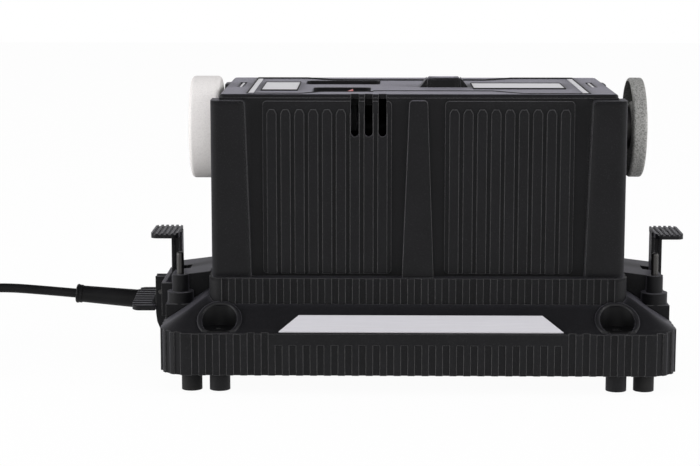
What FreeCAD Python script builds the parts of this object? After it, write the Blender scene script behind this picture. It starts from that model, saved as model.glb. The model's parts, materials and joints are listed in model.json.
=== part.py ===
import FreeCAD, Part
import math
import os

import Sketcher

# A bench sharpener: a ribbed motor housing on a wide base, with a small wheel on each end of one spindle.
# X runs along the spindle, Y away from the front, Z up. The origin is the centre of the four bench screws,
# in the plane of the screw tubes' lower ends. All sizes are millimetres.

SIZES = {
    # Base
    "base_length": 247.0,
    "base_depth": 148.0,
    "base_corner": 15.0,
    "base_wall": 2.8,
    "skirt_lift": 8.3,
    "skirt_height": 20.2,
    "shoulder_run": 22.5,
    "shoulder_rise": 14.4,
    "shoulder_tip": 0.6,
    "roof_wall": 3.3,
    "pocket_rise": 11.0,
    "pocket_floor": 3.0,
    "flute_pitch": 6.6,
    "flute_width": 3.3,
    "flute_depth": 0.7,
    "corner_flutes": 3,
    "seat_gap": 0.3,
    # Bench screws, feet and bottom plate
    "screw_spacing_x": 189.0,
    "screw_spacing_y": 132.0,
    "screw_hole": 5.2,
    "screw_tube": 9.9,
    "screw_recess": 18.4,
    "recess_lift": 0.3,
    "recess_rim": 0.4,
    "foot_diameter": 9.9,
    "foot_drop": 1.5,
    "foot_spacing_x": 217.0,
    "foot_spacing_y": 119.0,
    "foot_stem": 5.0,
    "foot_bulb": 7.2,
    "foot_bulb_height": 2.2,
    "plate_thick": 2.0,
    "plate_screw": 3.5,
    "plate_screw_head": 6.5,
    "plate_screw_head_height": 2.0,
    "plate_screw_length": 14.0,
    "plate_screw_x": 150.0,
    "plate_screw_y": 116.0,
    "post_diameter": 8.0,
    # Front label
    "label_bottom": 134.4,
    "label_top": 116.0,
    "label_rise": 11.2,
    "label_thick": 0.6,
    "label_offset": 1.0,
    "label_shift": 1.2,
    "label_band": 5.5,
    "label_margin": 3.0,
    # Plinth
    "plinth_length": 201.0,
    "plinth_depth": 114.4,
    "plinth_corner": 8.0,
    "plinth_height": 12.5,
    "plinth_wall": 3.0,
    "plinth_top": 2.5,
    "plinth_screw_x": 140.0,
    "plinth_screw_y": 90.0,
    "plinth_screw": 4.0,
    "plinth_screw_head": 7.0,
    "plinth_screw_head_height": 2.6,
    "plinth_boss": 9.0,
    "plinth_boss_height": 6.0,
    "wire_hole": 12.0,
    "wire_hole_x": 75.0,
    "wire_hole_y": 38.0,
    # Housing
    "housing_length": 190.0,
    "housing_depth": 100.0,
    "housing_height": 86.0,
    "housing_wall": 2.5,
    "pilaster_proud": 4.0,
    "pilaster_round": 3.0,
    "pilaster_drop": 1.1,
    "pilaster_tip": 1.8,
    "corner_width_top": 16.3,
    "corner_width_bottom": 19.0,
    "middle_width_top": 8.5,
    "middle_width_bottom": 14.9,
    "panel_centre": 43.5,
    "panel_width": 61.4,
    "panel_proud": 1.0,
    "panel_margin": 1.5,
    "panel_corner": 2.0,
    "rib_pitch": 6.6,
    "rib_width": 4.5,
    "rib_proud": 0.8,
    "rib_count": 9,
    "rib_tip": 2.0,
    "rib_drop": 5.5,
    "vent_count": 3,
    "vent_width": 3.8,
    "vent_height": 18.5,
    "spindle_hole": 24.0,
    "corner_post": 10.0,
    "cover_boss": 10.0,
    "tie_screw": 4.0,
    "tie_head": 7.0,
    "tie_head_height": 2.6,
    "tie_bite": 8.0,
    "screw_fit": 0.1,
    # Cover
    "cover_rim": 1.7,
    "cover_skin": 1.8,
    "cover_corner": 3.0,
    "cover_edge": 1.3,
    "panel_depth": 0.4,
    "panel_end": 82.0,
    "panel_end_half": 46.0,
    "panel_front": 32.0,
    "panel_back": 34.8,
    "panel_neck_left": 56.0,
    "panel_neck_right": 50.0,
    "panel_neck_run": 14.0,
    "well_centre_x": 37.0,
    "well_depth": 4.5,
    "well_wall": 1.5,
    "well_corner": 3.0,
    "front_well_length": 28.3,
    "front_well_near": 7.0,
    "front_well_far": 35.0,
    "rear_well_length": 37.7,
    "rear_well_near": 10.7,
    "rear_well_far": 33.5,
    "plate_card": 0.4,
    "left_card_in": 59.0,
    "left_card_out": 76.0,
    "left_card_front": 26.0,
    "left_card_back": 19.0,
    "right_card_in": 28.0,
    "right_card_out": 72.5,
    "right_card_front": 16.0,
    "right_card_back": 14.0,
    "strip_centre": 80.3,
    "strip_width": 2.4,
    "strip_front": 44.0,
    "strip_back": 41.0,
    "dash_x": 87.5,
    "dash_y": 4.2,
    "dash_length": 28.0,
    "dash_width": 1.0,
    "dent_width": 3.2,
    "dent_depth": 0.6,
    # Spindle lock on the cover
    "lock_centre": 13.5,
    "lock_length": 16.0,
    "lock_width": 12.0,
    "lock_rise": 4.7,
    "lock_ramp": 4.0,
    "lock_ramp_round": 3.0,
    "lock_edge": 1.2,
    "lock_gap": 0.35,
    "lock_lip": 1.8,
    "lock_flange": 2.4,
    "lock_pin": 4.0,
    "lock_hole": 4.6,
    "lock_pin_end": 3.7,
    "lock_bracket_floor": 1.5,
    "lock_bracket_wall": 1.5,
    "lock_bracket_drop": 8.5,
    "lock_bracket_room": 0.7,
    "lock_bracket_foot": 7.0,
    "lock_bolt_reach": 5.0,
    "lock_bolt": 2.5,
    "lock_bolt_head": 4.5,
    "lock_bolt_head_height": 1.6,
    "lock_spring": 8.0,
    "lock_spring_wire": 1.0,
    # Rocker switch
    "switch_length": 17.0,
    "switch_width": 12.4,
    "switch_bezel": 1.2,
    "switch_wall": 1.0,
    "switch_depth": 15.0,
    "rocker_gap": 0.35,
    "rocker_rise": 2.9,
    "rocker_dip": 0.9,
    "rocker_drop": 3.0,
    "rocker_heel": 0.75,
    "rocker_tilt": 12.0,
    "rocker_pivot_lift": 0.5,
    "rocker_axle": 2.0,
    "rocker_y": 21.0,
    # Spindle, wheels and bearings
    "spindle_drop": 19.1,
    "spindle_middle": 10.0,
    "spindle_end": 8.0,
    "running_fit": 0.03,
    "bearing_outer": 22.0,
    "bearing_width": 7.0,
    "bearing_step": 2.3,
    "bearing_race": 3.0,
    "bearing_shield": 0.6,
    "carrier_thick": 3.0,
    "carrier_depth": 10.0,
    "carrier_wall": 3.5,
    "carrier_width": 42.0,
    "carrier_height": 33.0,
    "carrier_screw": 3.0,
    "carrier_screw_y": 17.5,
    "carrier_screw_head": 5.5,
    "carrier_screw_head_height": 2.0,
    "wheel_diameter": 51.0,
    "wheel_width": 14.8,
    "wheel_gap": 2.5,
    "wheel_round": 2.0,
    "wheel_sink": 22.0,
    "wheel_sink_depth": 8.0,
    "flange_diameter": 20.0,
    "flange_thick": 3.0,
    "spacer_diameter": 11.0,
    "washer_diameter": 17.0,
    "washer_thick": 1.5,
    "nut_height": 5.0,
    "nut_flats": 13.0,
    "thread_proud": 0.5,
    "cup_diameter": 49.6,
    "cup_rim": 7.0,
    "cup_sheet": 1.6,
    "cup_gap": 10.5,
    "cup_dish": 10.5,
    "cup_dish_depth": 4.6,
    "hub_diameter": 21.0,
    "thin_nut_height": 4.2,
    # Belt drive and motor
    "belt_centres": 39.9,
    "belt_x": 38.0,
    "belt_width": 6.4,
    "belt_thick": 2.0,
    "belt_gap": 0.3,
    "pulley_lip": 1.5,
    "pulley_lip_rise": 2.7,
    "spindle_pulley": 28.0,
    "motor_pulley": 14.0,
    "motor_diameter": 50.0,
    "motor_length": 69.0,
    "motor_left": 53.0,
    "motor_wall": 2.0,
    "bell_length": 8.0,
    "motor_shaft": 6.0,
    "bush_outer": 14.0,
    "bush_length": 8.0,
    "core_diameter": 34.0,
    "core_length": 28.0,
    "core_slot": 2.4,
    "core_slot_depth": 7.0,
    "core_slots": 8,
    "winding_length": 6.5,
    "winding_outer": 30.0,
    "winding_inner": 16.0,
    "magnet_thick": 4.6,
    "magnet_length": 36.0,
    "magnet_split": 20.0,
    "commutator_diameter": 16.0,
    "commutator_length": 10.0,
    "commutator_gap": 2.0,
    "brush_width": 6.0,
    "brush_gap": 0.3,
    "brush_length": 9.0,
    "holder_wall": 1.2,
    "fan_diameter": 40.0,
    "fan_thick": 1.5,
    "fan_blade": 8.0,
    "fan_blades": 7,
    "fan_hub": 12.0,
    "fan_gap": 3.0,
    "cradle_length": 54.0,
    "cradle_width": 68.0,
    "cradle_top_drop": 13.0,
    "strap_width": 12.0,
    "strap_thick": 2.0,
    "strap_screw": 4.0,
    "strap_screw_y": 61.0,
    "strap_screw_head": 7.0,
    "strap_screw_head_height": 2.6,
    "strap_screw_length": 10.0,
    # Control board
    "board_inner": 58.0,
    "board_outer": 84.0,
    "board_width": 56.0,
    "board_thick": 1.6,
    "board_lift": 4.5,
    "board_leg": 5.0,
    "terminal_length": 10.0,
    "terminal_width": 20.0,
    "terminal_height": 8.0,
    "capacitor_diameter": 9.0,
    "capacitor_length": 18.0,
    "rectifier_side": 12.0,
    "rectifier_height": 5.0,
    # Docks and latch levers
    "dock_overhang": 2.5,
    "dock_gap": 0.9,
    "dock_front": 30.0,
    "dock_back": 14.0,
    "dock_lip": 0.5,
    "dock_side_height": 16.0,
    "dock_wall": 2.0,
    "dock_trough": 3.0,
    "dock_trough_depth": 4.5,
    "dock_top_rise": 22.1,
    "dock_top_fall": 2.5,
    "spigot_inset": 7.7,
    "spigot_y": 36.6,
    "spigot_foot_front": 43.0,
    "spigot_foot_length": 14.1,
    "spigot_foot_inset": 0.9,
    "collar_lift": 8.0,
    "collar_diameter": 12.8,
    "collar_height": 5.5,
    "spigot_diameter": 8.2,
    "spigot_height": 8.4,
    "guide_pin": 3.4,
    "guide_pin_rise": 11.0,
    "guide_pin_shank": 4.6,
    "guide_pin_depth": 9.0,
    "guide_pin_tip": 1.1,
    "latch_inset": 3.5,
    "latch_pivot_lift": 7.5,
    "latch_pin": 3.0,
    "latch_pin_length": 28.0,
    "latch_y": 8.0,
    "latch_depth": 9.0,
    "latch_thick": 5.2,
    "stem_groove": 2.2,
    "stem_groove_depth": 1.2,
    "stem_groove_lift": 8.0,
    "latch_round": 7.4,
    "latch_play": 0.5,
    "latch_swing": 4.4,
    "pad_length": 13.8,
    "pad_outset": 8.5,
    "pad_width": 28.5,
    "pad_corner": 3.5,
    "pad_thick": 1.8,
    "pad_height": 32.0,
    "pad_rib": 1.2,
    "pad_rib_rise": 0.7,
    "pad_ribs": 6,
    "latch_spring": 4.4,
    "latch_spring_bore": 3.0,
    "latch_spring_lift": 6.5,
    # Thumb lever beside the left dock
    "ear_thick": 2.0,
    "ear_gap": 4.0,
    "ear_reach": 5.0,
    "ear_low": 14.0,
    "ear_high": 44.5,
    "ear_curve": 12.0,
    "thumb_pivot_out": 2.6,
    "thumb_pivot_z": 36.5,
    "thumb_pin": 2.0,
    "thumb_hub": 4.2,
    "thumb_play": 0.35,
    "thumb_tab_length": 11.8,
    "thumb_tab_front": 14.0,
    "thumb_tab_back": 20.0,
    "thumb_tab_thick": 2.0,
    "thumb_tab_z": 29.4,
    "thumb_tab_tilt": 5.0,
    "thumb_tab_corner": 4.0,
    "thumb_rib": 1.6,
    "thumb_rib_rise": 0.6,
    "thumb_ribs": 9,
    # Cord outlet
    "cord_diameter": 4.8,
    "cord_y": 30.0,
    "cord_exit_z": 22.9,
    "cord_rise": 5.0,
    "sleeve_flange": 13.0,
    "sleeve_flange_thick": 2.5,
    "sleeve_stub": 7.0,
    "sleeve_stub_length": 6.0,
    "sleeve_length": 54.0,
    "sleeve_root": 10.2,
    "sleeve_tip": 8.6,
    "sleeve_collar": 9.4,
    "sleeve_collar_length": 3.0,
    # Coil of the put-away cord, its tie and the plug
    "coil_outer_radius": 33.1,
    "coil_step": 5.5,
    "coil_turns": 2,
    "coil_layers": 4,
    "coil_back": 123.4,
    "coil_forward": 3.5,
    "coil_lead": 4.8,
    "coil_tail": 22.0,
    "tie_thick": 0.8,
    "tie_width": 8.0,
    "tie_gap": 0.3,
    "plug_nose": 17.0,
    "plug_nose_width": 8.0,
    "plug_nose_thick": 6.0,
    "plug_neck_width": 24.0,
    "plug_neck_thick": 10.0,
    "plug_body": 24.0,
    "plug_width": 35.3,
    "plug_thick": 13.7,
    "plug_corner": 4.0,
    "plug_pin": 4.0,
    "plug_pin_spacing": 19.0,
    "plug_pin_length": 19.0,
    "plug_pin_depth": 8.0,
}

# The cord's free stretch, as steps from the end of its sleeve towards the coil.
CORD_STEPS = (
    (-18.6, 0.0, 1.63),
    (-38.6, 0.3, 3.0),
    (-59.6, 1.0, 1.6),
    (-83.6, 2.2, -3.6),
)

DOC = FreeCAD.newDocument("bench_sharpener")
NODES = {}


class Size:
    """A length held as a number and as the sheet expression that gives it."""

    def __init__(self, value, text):
        self.value = float(value)
        self.text = text

    def __add__(self, other):
        other = as_size(other)
        return Size(self.value + other.value, f"({self.text} + {other.text})")

    def __sub__(self, other):
        other = as_size(other)
        return Size(self.value - other.value, f"({self.text} - {other.text})")

    def __mul__(self, other):
        other = as_size(other)
        return Size(self.value * other.value, f"({self.text} * {other.text})")

    def __truediv__(self, other):
        other = as_size(other)
        return Size(self.value / other.value, f"({self.text} / {other.text})")

    def __radd__(self, other):
        return as_size(other) + self

    def __rsub__(self, other):
        return as_size(other) - self

    def __rmul__(self, other):
        return as_size(other) * self

    def __neg__(self):
        return Size(-self.value, f"(0 - {self.text})")

    def __float__(self):
        return self.value

    def __int__(self):
        return round(self.value)


def as_size(value):
    return value if isinstance(value, Size) else Size(value, f"({float(value)!r})")


class Sizes:
    """The driving dimensions, one sheet cell each, read as attributes."""

    def __init__(self, table):
        sheet = DOC.addObject("Spreadsheet::Sheet", "sizes")
        for row, (alias, value) in enumerate(table.items(), start=1):
            sheet.set(f"A{row}", alias.replace("_", " "))
            sheet.set(f"B{row}", str(value))
            sheet.setAlias(f"B{row}", alias)
        DOC.recompute()
        for alias in table:
            setattr(self, alias, Size(sheet.get(alias), f"sizes.{alias}"))


d = Sizes(SIZES)


# Shapes that the sub-parts are made of


def bind(item, prop, value):
    item.setExpression(prop, as_size(value).text)


def place(item, x=0.0, y=0.0, z=0.0):
    """Bind an object's position to the sheet."""
    for axis, value in zip("xyz", (x, y, z)):
        bind(item, f"Placement.Base.{axis}", value)
    return item


def across(width, centre=0.0):
    """The two bounds of a width about its centre."""
    return centre - width / 2, centre + width / 2


def block(x, y, z):
    """A box between two bounds on each axis."""
    box = DOC.addObject("Part::Box", "Block")
    for side, (low, high) in zip(("Length", "Width", "Height"), (x, y, z)):
        bind(box, side, high - as_size(low))
    return place(box, x[0], y[0], z[0])


TURN_TO = {
    "x": FreeCAD.Rotation(FreeCAD.Vector(0, 1, 0), 90),
    "y": FreeCAD.Rotation(FreeCAD.Vector(1, 0, 0), -90),
    "z": FreeCAD.Rotation(),
}


def lie(item, axis, centre, start):
    """Turn a bar along an axis and bind its start; centre holds the other two coordinates."""
    item.Placement = FreeCAD.Placement(FreeCAD.Vector(), TURN_TO[axis])
    at = list(centre)
    at.insert("xyz".index(axis), start)
    return place(item, *at)


def rod(axis, centre, span, diameter):
    bar = DOC.addObject("Part::Cylinder", "Rod")
    bind(bar, "Radius", as_size(diameter) / 2)
    bind(bar, "Height", span[1] - as_size(span[0]))
    return lie(bar, axis, centre, span[0])


def cone(axis, centre, span, start_diameter, end_diameter):
    bar = DOC.addObject("Part::Cone", "Cone")
    bind(bar, "Radius1", as_size(start_diameter) / 2)
    bind(bar, "Radius2", as_size(end_diameter) / 2)
    bind(bar, "Height", span[1] - as_size(span[0]))
    return lie(bar, axis, centre, span[0])


def tube(axis, centre, span, outer, inner):
    return cut(rod(axis, centre, span, outer), rod(axis, centre, span, inner))


def hexagon(axis, centre, span, flats):
    """A hexagonal bar, given across its flats."""
    bar = DOC.addObject("Part::Prism", "Hexagon")
    bar.Polygon = 6
    bind(bar, "Circumradius", flats / math.sqrt(3))
    bind(bar, "Height", span[1] - as_size(span[0]))
    return lie(bar, axis, centre, span[0])


def fuse(*items):
    whole = DOC.addObject("Part::MultiFuse", "Fuse")
    whole.Shapes = list(items)
    whole.Refine = True
    return whole


def group(*items):
    """Separate solids kept side by side in one shape."""
    several = DOC.addObject("Part::Compound", "Group")
    several.Links = list(items)
    return several


def cut(base, *tools):
    result = DOC.addObject("Part::Cut", "Cut")
    result.Base = base
    result.Tool = tools[0] if len(tools) == 1 else fuse(*tools)
    result.Refine = True
    return result


def common(first, second):
    result = DOC.addObject("Part::Common", "Common")
    result.Base = first
    result.Tool = second
    return result


def mirrored(item, axis):
    other = DOC.addObject("Part::Mirroring", "Mirror")
    other.Source = item
    other.Normal = FreeCAD.Vector(*(float(axis == name) for name in "xyz"))
    return other


def both(item, axis):
    return group(item, mirrored(item, axis))


def all_four(item):
    """An item at one corner and its images at the other three."""
    return both(both(item, "x"), "y")


def made(shape, name="Made"):
    """An object whose shape is worked out here from the sheet's values."""
    item = DOC.addObject("Part::Feature", name)
    item.Shape = shape
    return item


def repeated(item, shifts):
    """Copies of an item, each moved by a shift, as one group of solids."""
    DOC.recompute()
    copies = [item.Shape.copy() for _ in shifts]
    for copy, shift in zip(copies, shifts):
        copy.translate(FreeCAD.Vector(*(float(value) for value in shift)))
    return made(Part.makeCompound(copies), "Row")


def rounded(item, radius, chosen):
    """Round the edges that a test picks."""
    DOC.recompute()
    fillet = DOC.addObject("Part::Fillet", "Round")
    fillet.Base = item
    size = float(radius)
    fillet.Edges = [(i, size, size) for i, edge in enumerate(item.Shape.Edges, start=1) if chosen(edge)]
    return fillet


def runs_along(edge, axis):
    ends = [vertex.Point for vertex in edge.Vertexes]
    if len(ends) < 2:
        return False
    step = ends[1] - ends[0]
    return abs(getattr(step, axis)) > 0.999 * step.Length > 0


def origin_plane(body, role):
    return next(item for item in body.Origin.OriginFeatures if item.Role == role)


def new_sketch(body, role):
    sketch = body.newObject("Sketcher::SketchObject", "Sketch")
    sketch.AttachmentSupport = [(origin_plane(body, role), "")]
    sketch.MapMode = "FlatFace"
    return sketch


def hold(sketch, kind, geometry, value):
    """Bind one coordinate of a line's start, or put the point on the sketch's axis."""
    if as_size(value).value == 0.0:
        axis = -2 if kind == "DistanceX" else -1
        sketch.addConstraint(Sketcher.Constraint("PointOnObject", geometry, 1, axis))
        return
    index = sketch.addConstraint(Sketcher.Constraint(kind, -1, 1, geometry, 1, as_size(value).value))
    bind(sketch, f"Constraints[{index}]", value)


def draw_polygon(sketch, corners):
    """A closed outline whose every corner is bound to the sheet."""
    at = [FreeCAD.Vector(as_size(x).value, as_size(y).value, 0) for x, y in corners]
    count = len(at)
    for i in range(count):
        sketch.addGeometry(Part.LineSegment(at[i], at[(i + 1) % count]), False)
    for i in range(count):
        sketch.addConstraint(Sketcher.Constraint("Coincident", i, 2, (i + 1) % count, 1))
    for i, (x, y) in enumerate(corners):
        hold(sketch, "DistanceX", i, x)
        hold(sketch, "DistanceY", i, y)


def draw_rounded(sketch, length, depth, corner):
    """A rounded rectangle centred on the sketch's origin."""
    x, y, r = length.value / 2, depth.value / 2, corner.value
    centres = ((x - r, -y + r), (x - r, y - r), (-x + r, y - r), (-x + r, -y + r))
    starts = ((-x + r, -y), (x, -y + r), (x - r, y), (-x, y - r))
    ends = ((x - r, -y), (x, y - r), (-x + r, y), (-x, -y + r))
    for i in range(4):
        line = Part.LineSegment(FreeCAD.Vector(*starts[i], 0), FreeCAD.Vector(*ends[i], 0))
        circle = Part.Circle(FreeCAD.Vector(*centres[i], 0), FreeCAD.Vector(0, 0, 1), r)
        turn = math.pi / 2 * (i - 1)
        sketch.addGeometry(line, False)
        sketch.addGeometry(Part.ArcOfCircle(circle, turn, turn + math.pi / 2), False)
    for i in range(4):
        sketch.addConstraint(Sketcher.Constraint("Tangent", 2 * i, 2, 2 * i + 1, 1))
        sketch.addConstraint(Sketcher.Constraint("Tangent", 2 * i + 1, 2, (2 * i + 2) % 8, 1))
        sketch.addConstraint(Sketcher.Constraint("Vertical" if i % 2 else "Horizontal", 2 * i))
    for arc in (3, 5, 7):
        sketch.addConstraint(Sketcher.Constraint("Equal", 1, arc))
    sketch.addConstraint(Sketcher.Constraint("Symmetric", 1, 3, 5, 3, -1, 1))
    radius = sketch.addConstraint(Sketcher.Constraint("Radius", 1, r))
    wide = sketch.addConstraint(Sketcher.Constraint("DistanceX", 6, 1, 2, 1, 2 * x))
    deep = sketch.addConstraint(Sketcher.Constraint("DistanceY", 0, 1, 4, 1, 2 * y))
    bind(sketch, f"Constraints[{radius}]", corner)
    bind(sketch, f"Constraints[{wide}]", length)
    bind(sketch, f"Constraints[{deep}]", depth)


def slab(length, depth, corner, z):
    """A rounded rectangle padded from one height to another."""
    body = DOC.addObject("PartDesign::Body", "Slab")
    sketch = new_sketch(body, "XY_Plane")
    draw_rounded(sketch, length, depth, corner)
    pad = body.newObject("PartDesign::Pad", "Pad")
    pad.Profile = sketch
    bind(pad, "Length", z[1] - as_size(z[0]))
    return place(body, z=z[0])


PADS = {"x": ("YZ_Plane", 0), "y": ("XZ_Plane", 1), "z": ("XY_Plane", 0)}


def prism(axis, corners, span):
    """An outline padded along an axis; a pad on the XZ plane runs towards the front."""
    role, start = PADS[axis]
    body = DOC.addObject("PartDesign::Body", "Prism")
    sketch = new_sketch(body, role)
    draw_polygon(sketch, corners)
    pad = body.newObject("PartDesign::Pad", "Pad")
    pad.Profile = sketch
    bind(pad, "Length", span[1] - as_size(span[0]))
    return place(body, **{axis: span[start]})


def turned(profile, height, y=0.0):
    """A piece turned about the X axis at a height, from (along, radius) corners."""
    body = DOC.addObject("PartDesign::Body", "Turned")
    sketch = new_sketch(body, "XZ_Plane")
    draw_polygon(sketch, profile)
    turn = body.newObject("PartDesign::Revolution", "Turn")
    turn.Profile = sketch
    turn.ReferenceAxis = (sketch, ["H_Axis"])
    turn.Angle = 360
    return place(body, y=y, z=height)


def turned_up(profile, x, y):
    """A piece turned about a vertical axis, from (radius, height) corners."""
    body = DOC.addObject("PartDesign::Body", "Turned")
    sketch = new_sketch(body, "XZ_Plane")
    draw_polygon(sketch, profile)
    turn = body.newObject("PartDesign::Revolution", "Turn")
    turn.Profile = sketch
    turn.ReferenceAxis = (sketch, ["V_Axis"])
    turn.Angle = 360
    return place(body, x=x, y=y)


def node(name, item):
    """Name a finished sub-part."""
    item.Label = name
    NODES[name] = item
    return item


# Levels and planes that several sub-parts share

FLOOR_Z = -d.foot_drop
BASE_X = d.base_length / 2
BASE_Y = d.base_depth / 2
SKIRT_TOP = d.skirt_lift + d.skirt_height
SLOPE = d.shoulder_rise / d.shoulder_run
SHOULDER_TOP = SKIRT_TOP + d.shoulder_rise
POCKET_Z = SKIRT_TOP + d.pocket_rise
PLINTH_FLOOR = POCKET_Z + d.plinth_wall
PLINTH_TOP = POCKET_Z + d.plinth_height
HOUSING_TOP = PLINTH_TOP + d.housing_height
END_X = d.housing_length / 2
SIDE_Y = d.housing_depth / 2
COVER_TOP = HOUSING_TOP + d.cover_rim
PANEL_Z = COVER_TOP - d.panel_depth
COVER_UNDER = PANEL_Z - d.cover_skin
SPINDLE_Z = HOUSING_TOP - d.spindle_drop
MOTOR_Z = SPINDLE_Z - d.belt_centres
ABOVE = COVER_TOP + 10
INNER_X = END_X - d.housing_wall
INNER_Y = SIDE_Y - d.housing_wall


def flute_cutters(length, depth, corner, low, top_at, on_corners):
    """Grooves all round a rounded wall; top_at gives the height where the groove at a point ends."""
    pitch, width, deep = d.flute_pitch.value, d.flute_width.value, d.flute_depth.value
    tools = []

    def groove(x, y, turn):
        height = float(top_at(x, y)) - float(low)
        tool = Part.makeBox(width, 2 * deep, height, FreeCAD.Vector(-width / 2, -deep, float(low)))
        tool.rotate(FreeCAD.Vector(), FreeCAD.Vector(0, 0, 1), turn)
        tool.translate(FreeCAD.Vector(x, y, 0))
        tools.append(tool)

    for along, out, turn in ((length, depth, 0), (depth, length, 90)):
        half = (along.value - 2 * corner.value) / 2
        count = 2 * int(half / pitch) + 1
        for i in range(count):
            offset = (i - count // 2) * pitch
            for wall in (-out.value / 2, out.value / 2):
                groove(*((offset, wall) if turn == 0 else (wall, offset)), turn)
    if on_corners:
        radius = corner.value
        for i in range(1, int(d.corner_flutes) + 1):
            angle = 90 * i / (int(d.corner_flutes) + 1)
            for sx, sy in ((1, 1), (1, -1), (-1, 1), (-1, -1)):
                x = sx * (length.value / 2 - radius + radius * math.cos(math.radians(angle)))
                y = sy * (depth.value / 2 - radius + radius * math.sin(math.radians(angle)))
                groove(x, y, sx * sy * (angle - 90))
    return made(Part.makeCompound(tools), "Flutes")


def skirt_groove_top(x, y):
    """Grooves run out over the skirt's edge, but stop below the screw recesses and the front label."""
    if abs(abs(x) - SCREW_X.value) < d.screw_recess.value / 2 + d.flute_width.value:
        return SKIRT_TOP - d.recess_rim
    if y < 0 and abs(x) < d.label_bottom.value / 2 + d.label_margin.value:
        return SKIRT_TOP - d.label_band
    return SKIRT_TOP + 1


def plinth_groove_top(x, y):
    """Grooves run through the plinth's top edge everywhere."""
    return PLINTH_TOP + 1


def mitred(length, depth, run, z, top):
    """A four-sided frustum with flat sides."""
    frustum = DOC.addObject("Part::Wedge", "Frustum")
    bounds = {
        "Xmin": -length / 2,
        "Xmax": length / 2,
        "Zmin": -depth / 2,
        "Zmax": depth / 2,
        "Ymin": 0.0,
        "Ymax": top - z,
        "X2min": run - length / 2,
        "X2max": length / 2 - run,
        "Z2min": run - depth / 2,
        "Z2max": depth / 2 - run,
    }
    for prop, value in bounds.items():
        bind(frustum, prop, value)
    turn = FreeCAD.Rotation(FreeCAD.Vector(1, 0, 0), 90)
    frustum.Placement = FreeCAD.Placement(FreeCAD.Vector(), turn)
    return place(frustum, z=z)


def hip(length, depth, corner, z, top):
    """A sloping roof over a rounded rectangle: coned corners below, plain mitres above."""
    x, y = length / 2, depth / 2
    lower = corner - d.shoulder_tip
    middle = z + lower * SLOPE
    end_face = ((-x, z), (x, z), (x - lower, middle), (lower - x, middle))
    side_face = ((-y, z), (y, z), (y - lower, middle), (lower - y, middle))
    corner_cone = cone("z", (x - corner, y - corner), (z, middle), 2 * corner, 2 * d.shoulder_tip)
    return fuse(
        prism("y", end_face, across(depth - 2 * corner)),
        prism("x", side_face, across(length - 2 * corner)),
        all_four(corner_cone),
        mitred(length - 2 * lower, depth - 2 * lower, (top - middle) / SLOPE, middle, top),
    )


def base_envelope():
    """The base as a solid block, which the docks sit against."""
    outline = (d.base_length, d.base_depth, d.base_corner)
    return fuse(slab(*outline, (d.skirt_lift, SKIRT_TOP)), hip(*outline, SKIRT_TOP, SHOULDER_TOP))


def base_cavity():
    """The room under the base's skirt and sloping roof."""
    wall = d.base_wall
    break_z = SKIRT_TOP + SLOPE * wall - d.roof_wall
    outline = (d.base_length - 2 * wall, d.base_depth - 2 * wall, d.base_corner - wall)
    roof_z = POCKET_Z - d.pocket_floor
    return fuse(slab(*outline, (d.skirt_lift - 1, break_z)), hip(*outline, break_z, roof_z))


PLATE_TOP = d.skirt_lift + d.plate_thick
SCREW_X = d.screw_spacing_x / 2
SCREW_Y = d.screw_spacing_y / 2
WIRE_AT = (-d.wire_hole_x, d.wire_hole_y)


def base_shell(envelope):
    """The moulded base: fluted skirt, sloping roof, pocket for the plinth and four bench-screw tubes."""
    wall = d.base_wall
    at_screw = (SCREW_X, SCREW_Y)
    at_post = (d.plate_screw_x / 2, d.plate_screw_y / 2)
    column = rod("z", at_screw, (SKIRT_TOP - d.roof_wall, SHOULDER_TOP), d.screw_recess + 2 * wall)
    post = rod("z", at_post, (PLATE_TOP, POCKET_Z), d.post_diameter)
    screw_tube = rod("z", at_screw, (0, SKIRT_TOP), d.screw_tube)
    solid = fuse(
        cut(envelope, base_cavity()),
        common(envelope, all_four(column)),
        common(envelope, all_four(post)),
        all_four(screw_tube),
    )
    fit = d.seat_gap
    pocket_size = (d.plinth_length + 2 * fit, d.plinth_depth + 2 * fit, d.plinth_corner + fit)
    outline = (d.base_length, d.base_depth, d.base_corner)
    tools = (
        slab(*pocket_size, (POCKET_Z, ABOVE)),
        all_four(rod("z", at_screw, (SKIRT_TOP + d.recess_lift, ABOVE), d.screw_recess)),
        flute_cutters(*outline, d.skirt_lift - 1, skirt_groove_top, True),
        all_four(rod("z", at_screw, (-d.foot_drop, ABOVE), d.screw_hole)),
        all_four(rod("z", at_post, (0, PLATE_TOP + d.plate_screw_length), d.plate_screw + d.screw_fit)),
        all_four(plinth_screw_hole()),
        rod("z", WIRE_AT, (0, ABOVE), d.wire_hole),
        rod("x", (d.cord_y, d.cord_exit_z), (-BASE_X - 1, -BASE_X + wall + 1), d.sleeve_stub + 1),
    )
    for tool in tools:
        solid = cut(solid, tool)
    return solid


def plinth_screw_hole():
    at = (d.plinth_screw_x / 2, d.plinth_screw_y / 2)
    return rod("z", at, (0, PLINTH_FLOOR + d.plinth_boss_height), d.plinth_screw + d.screw_fit)


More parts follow.
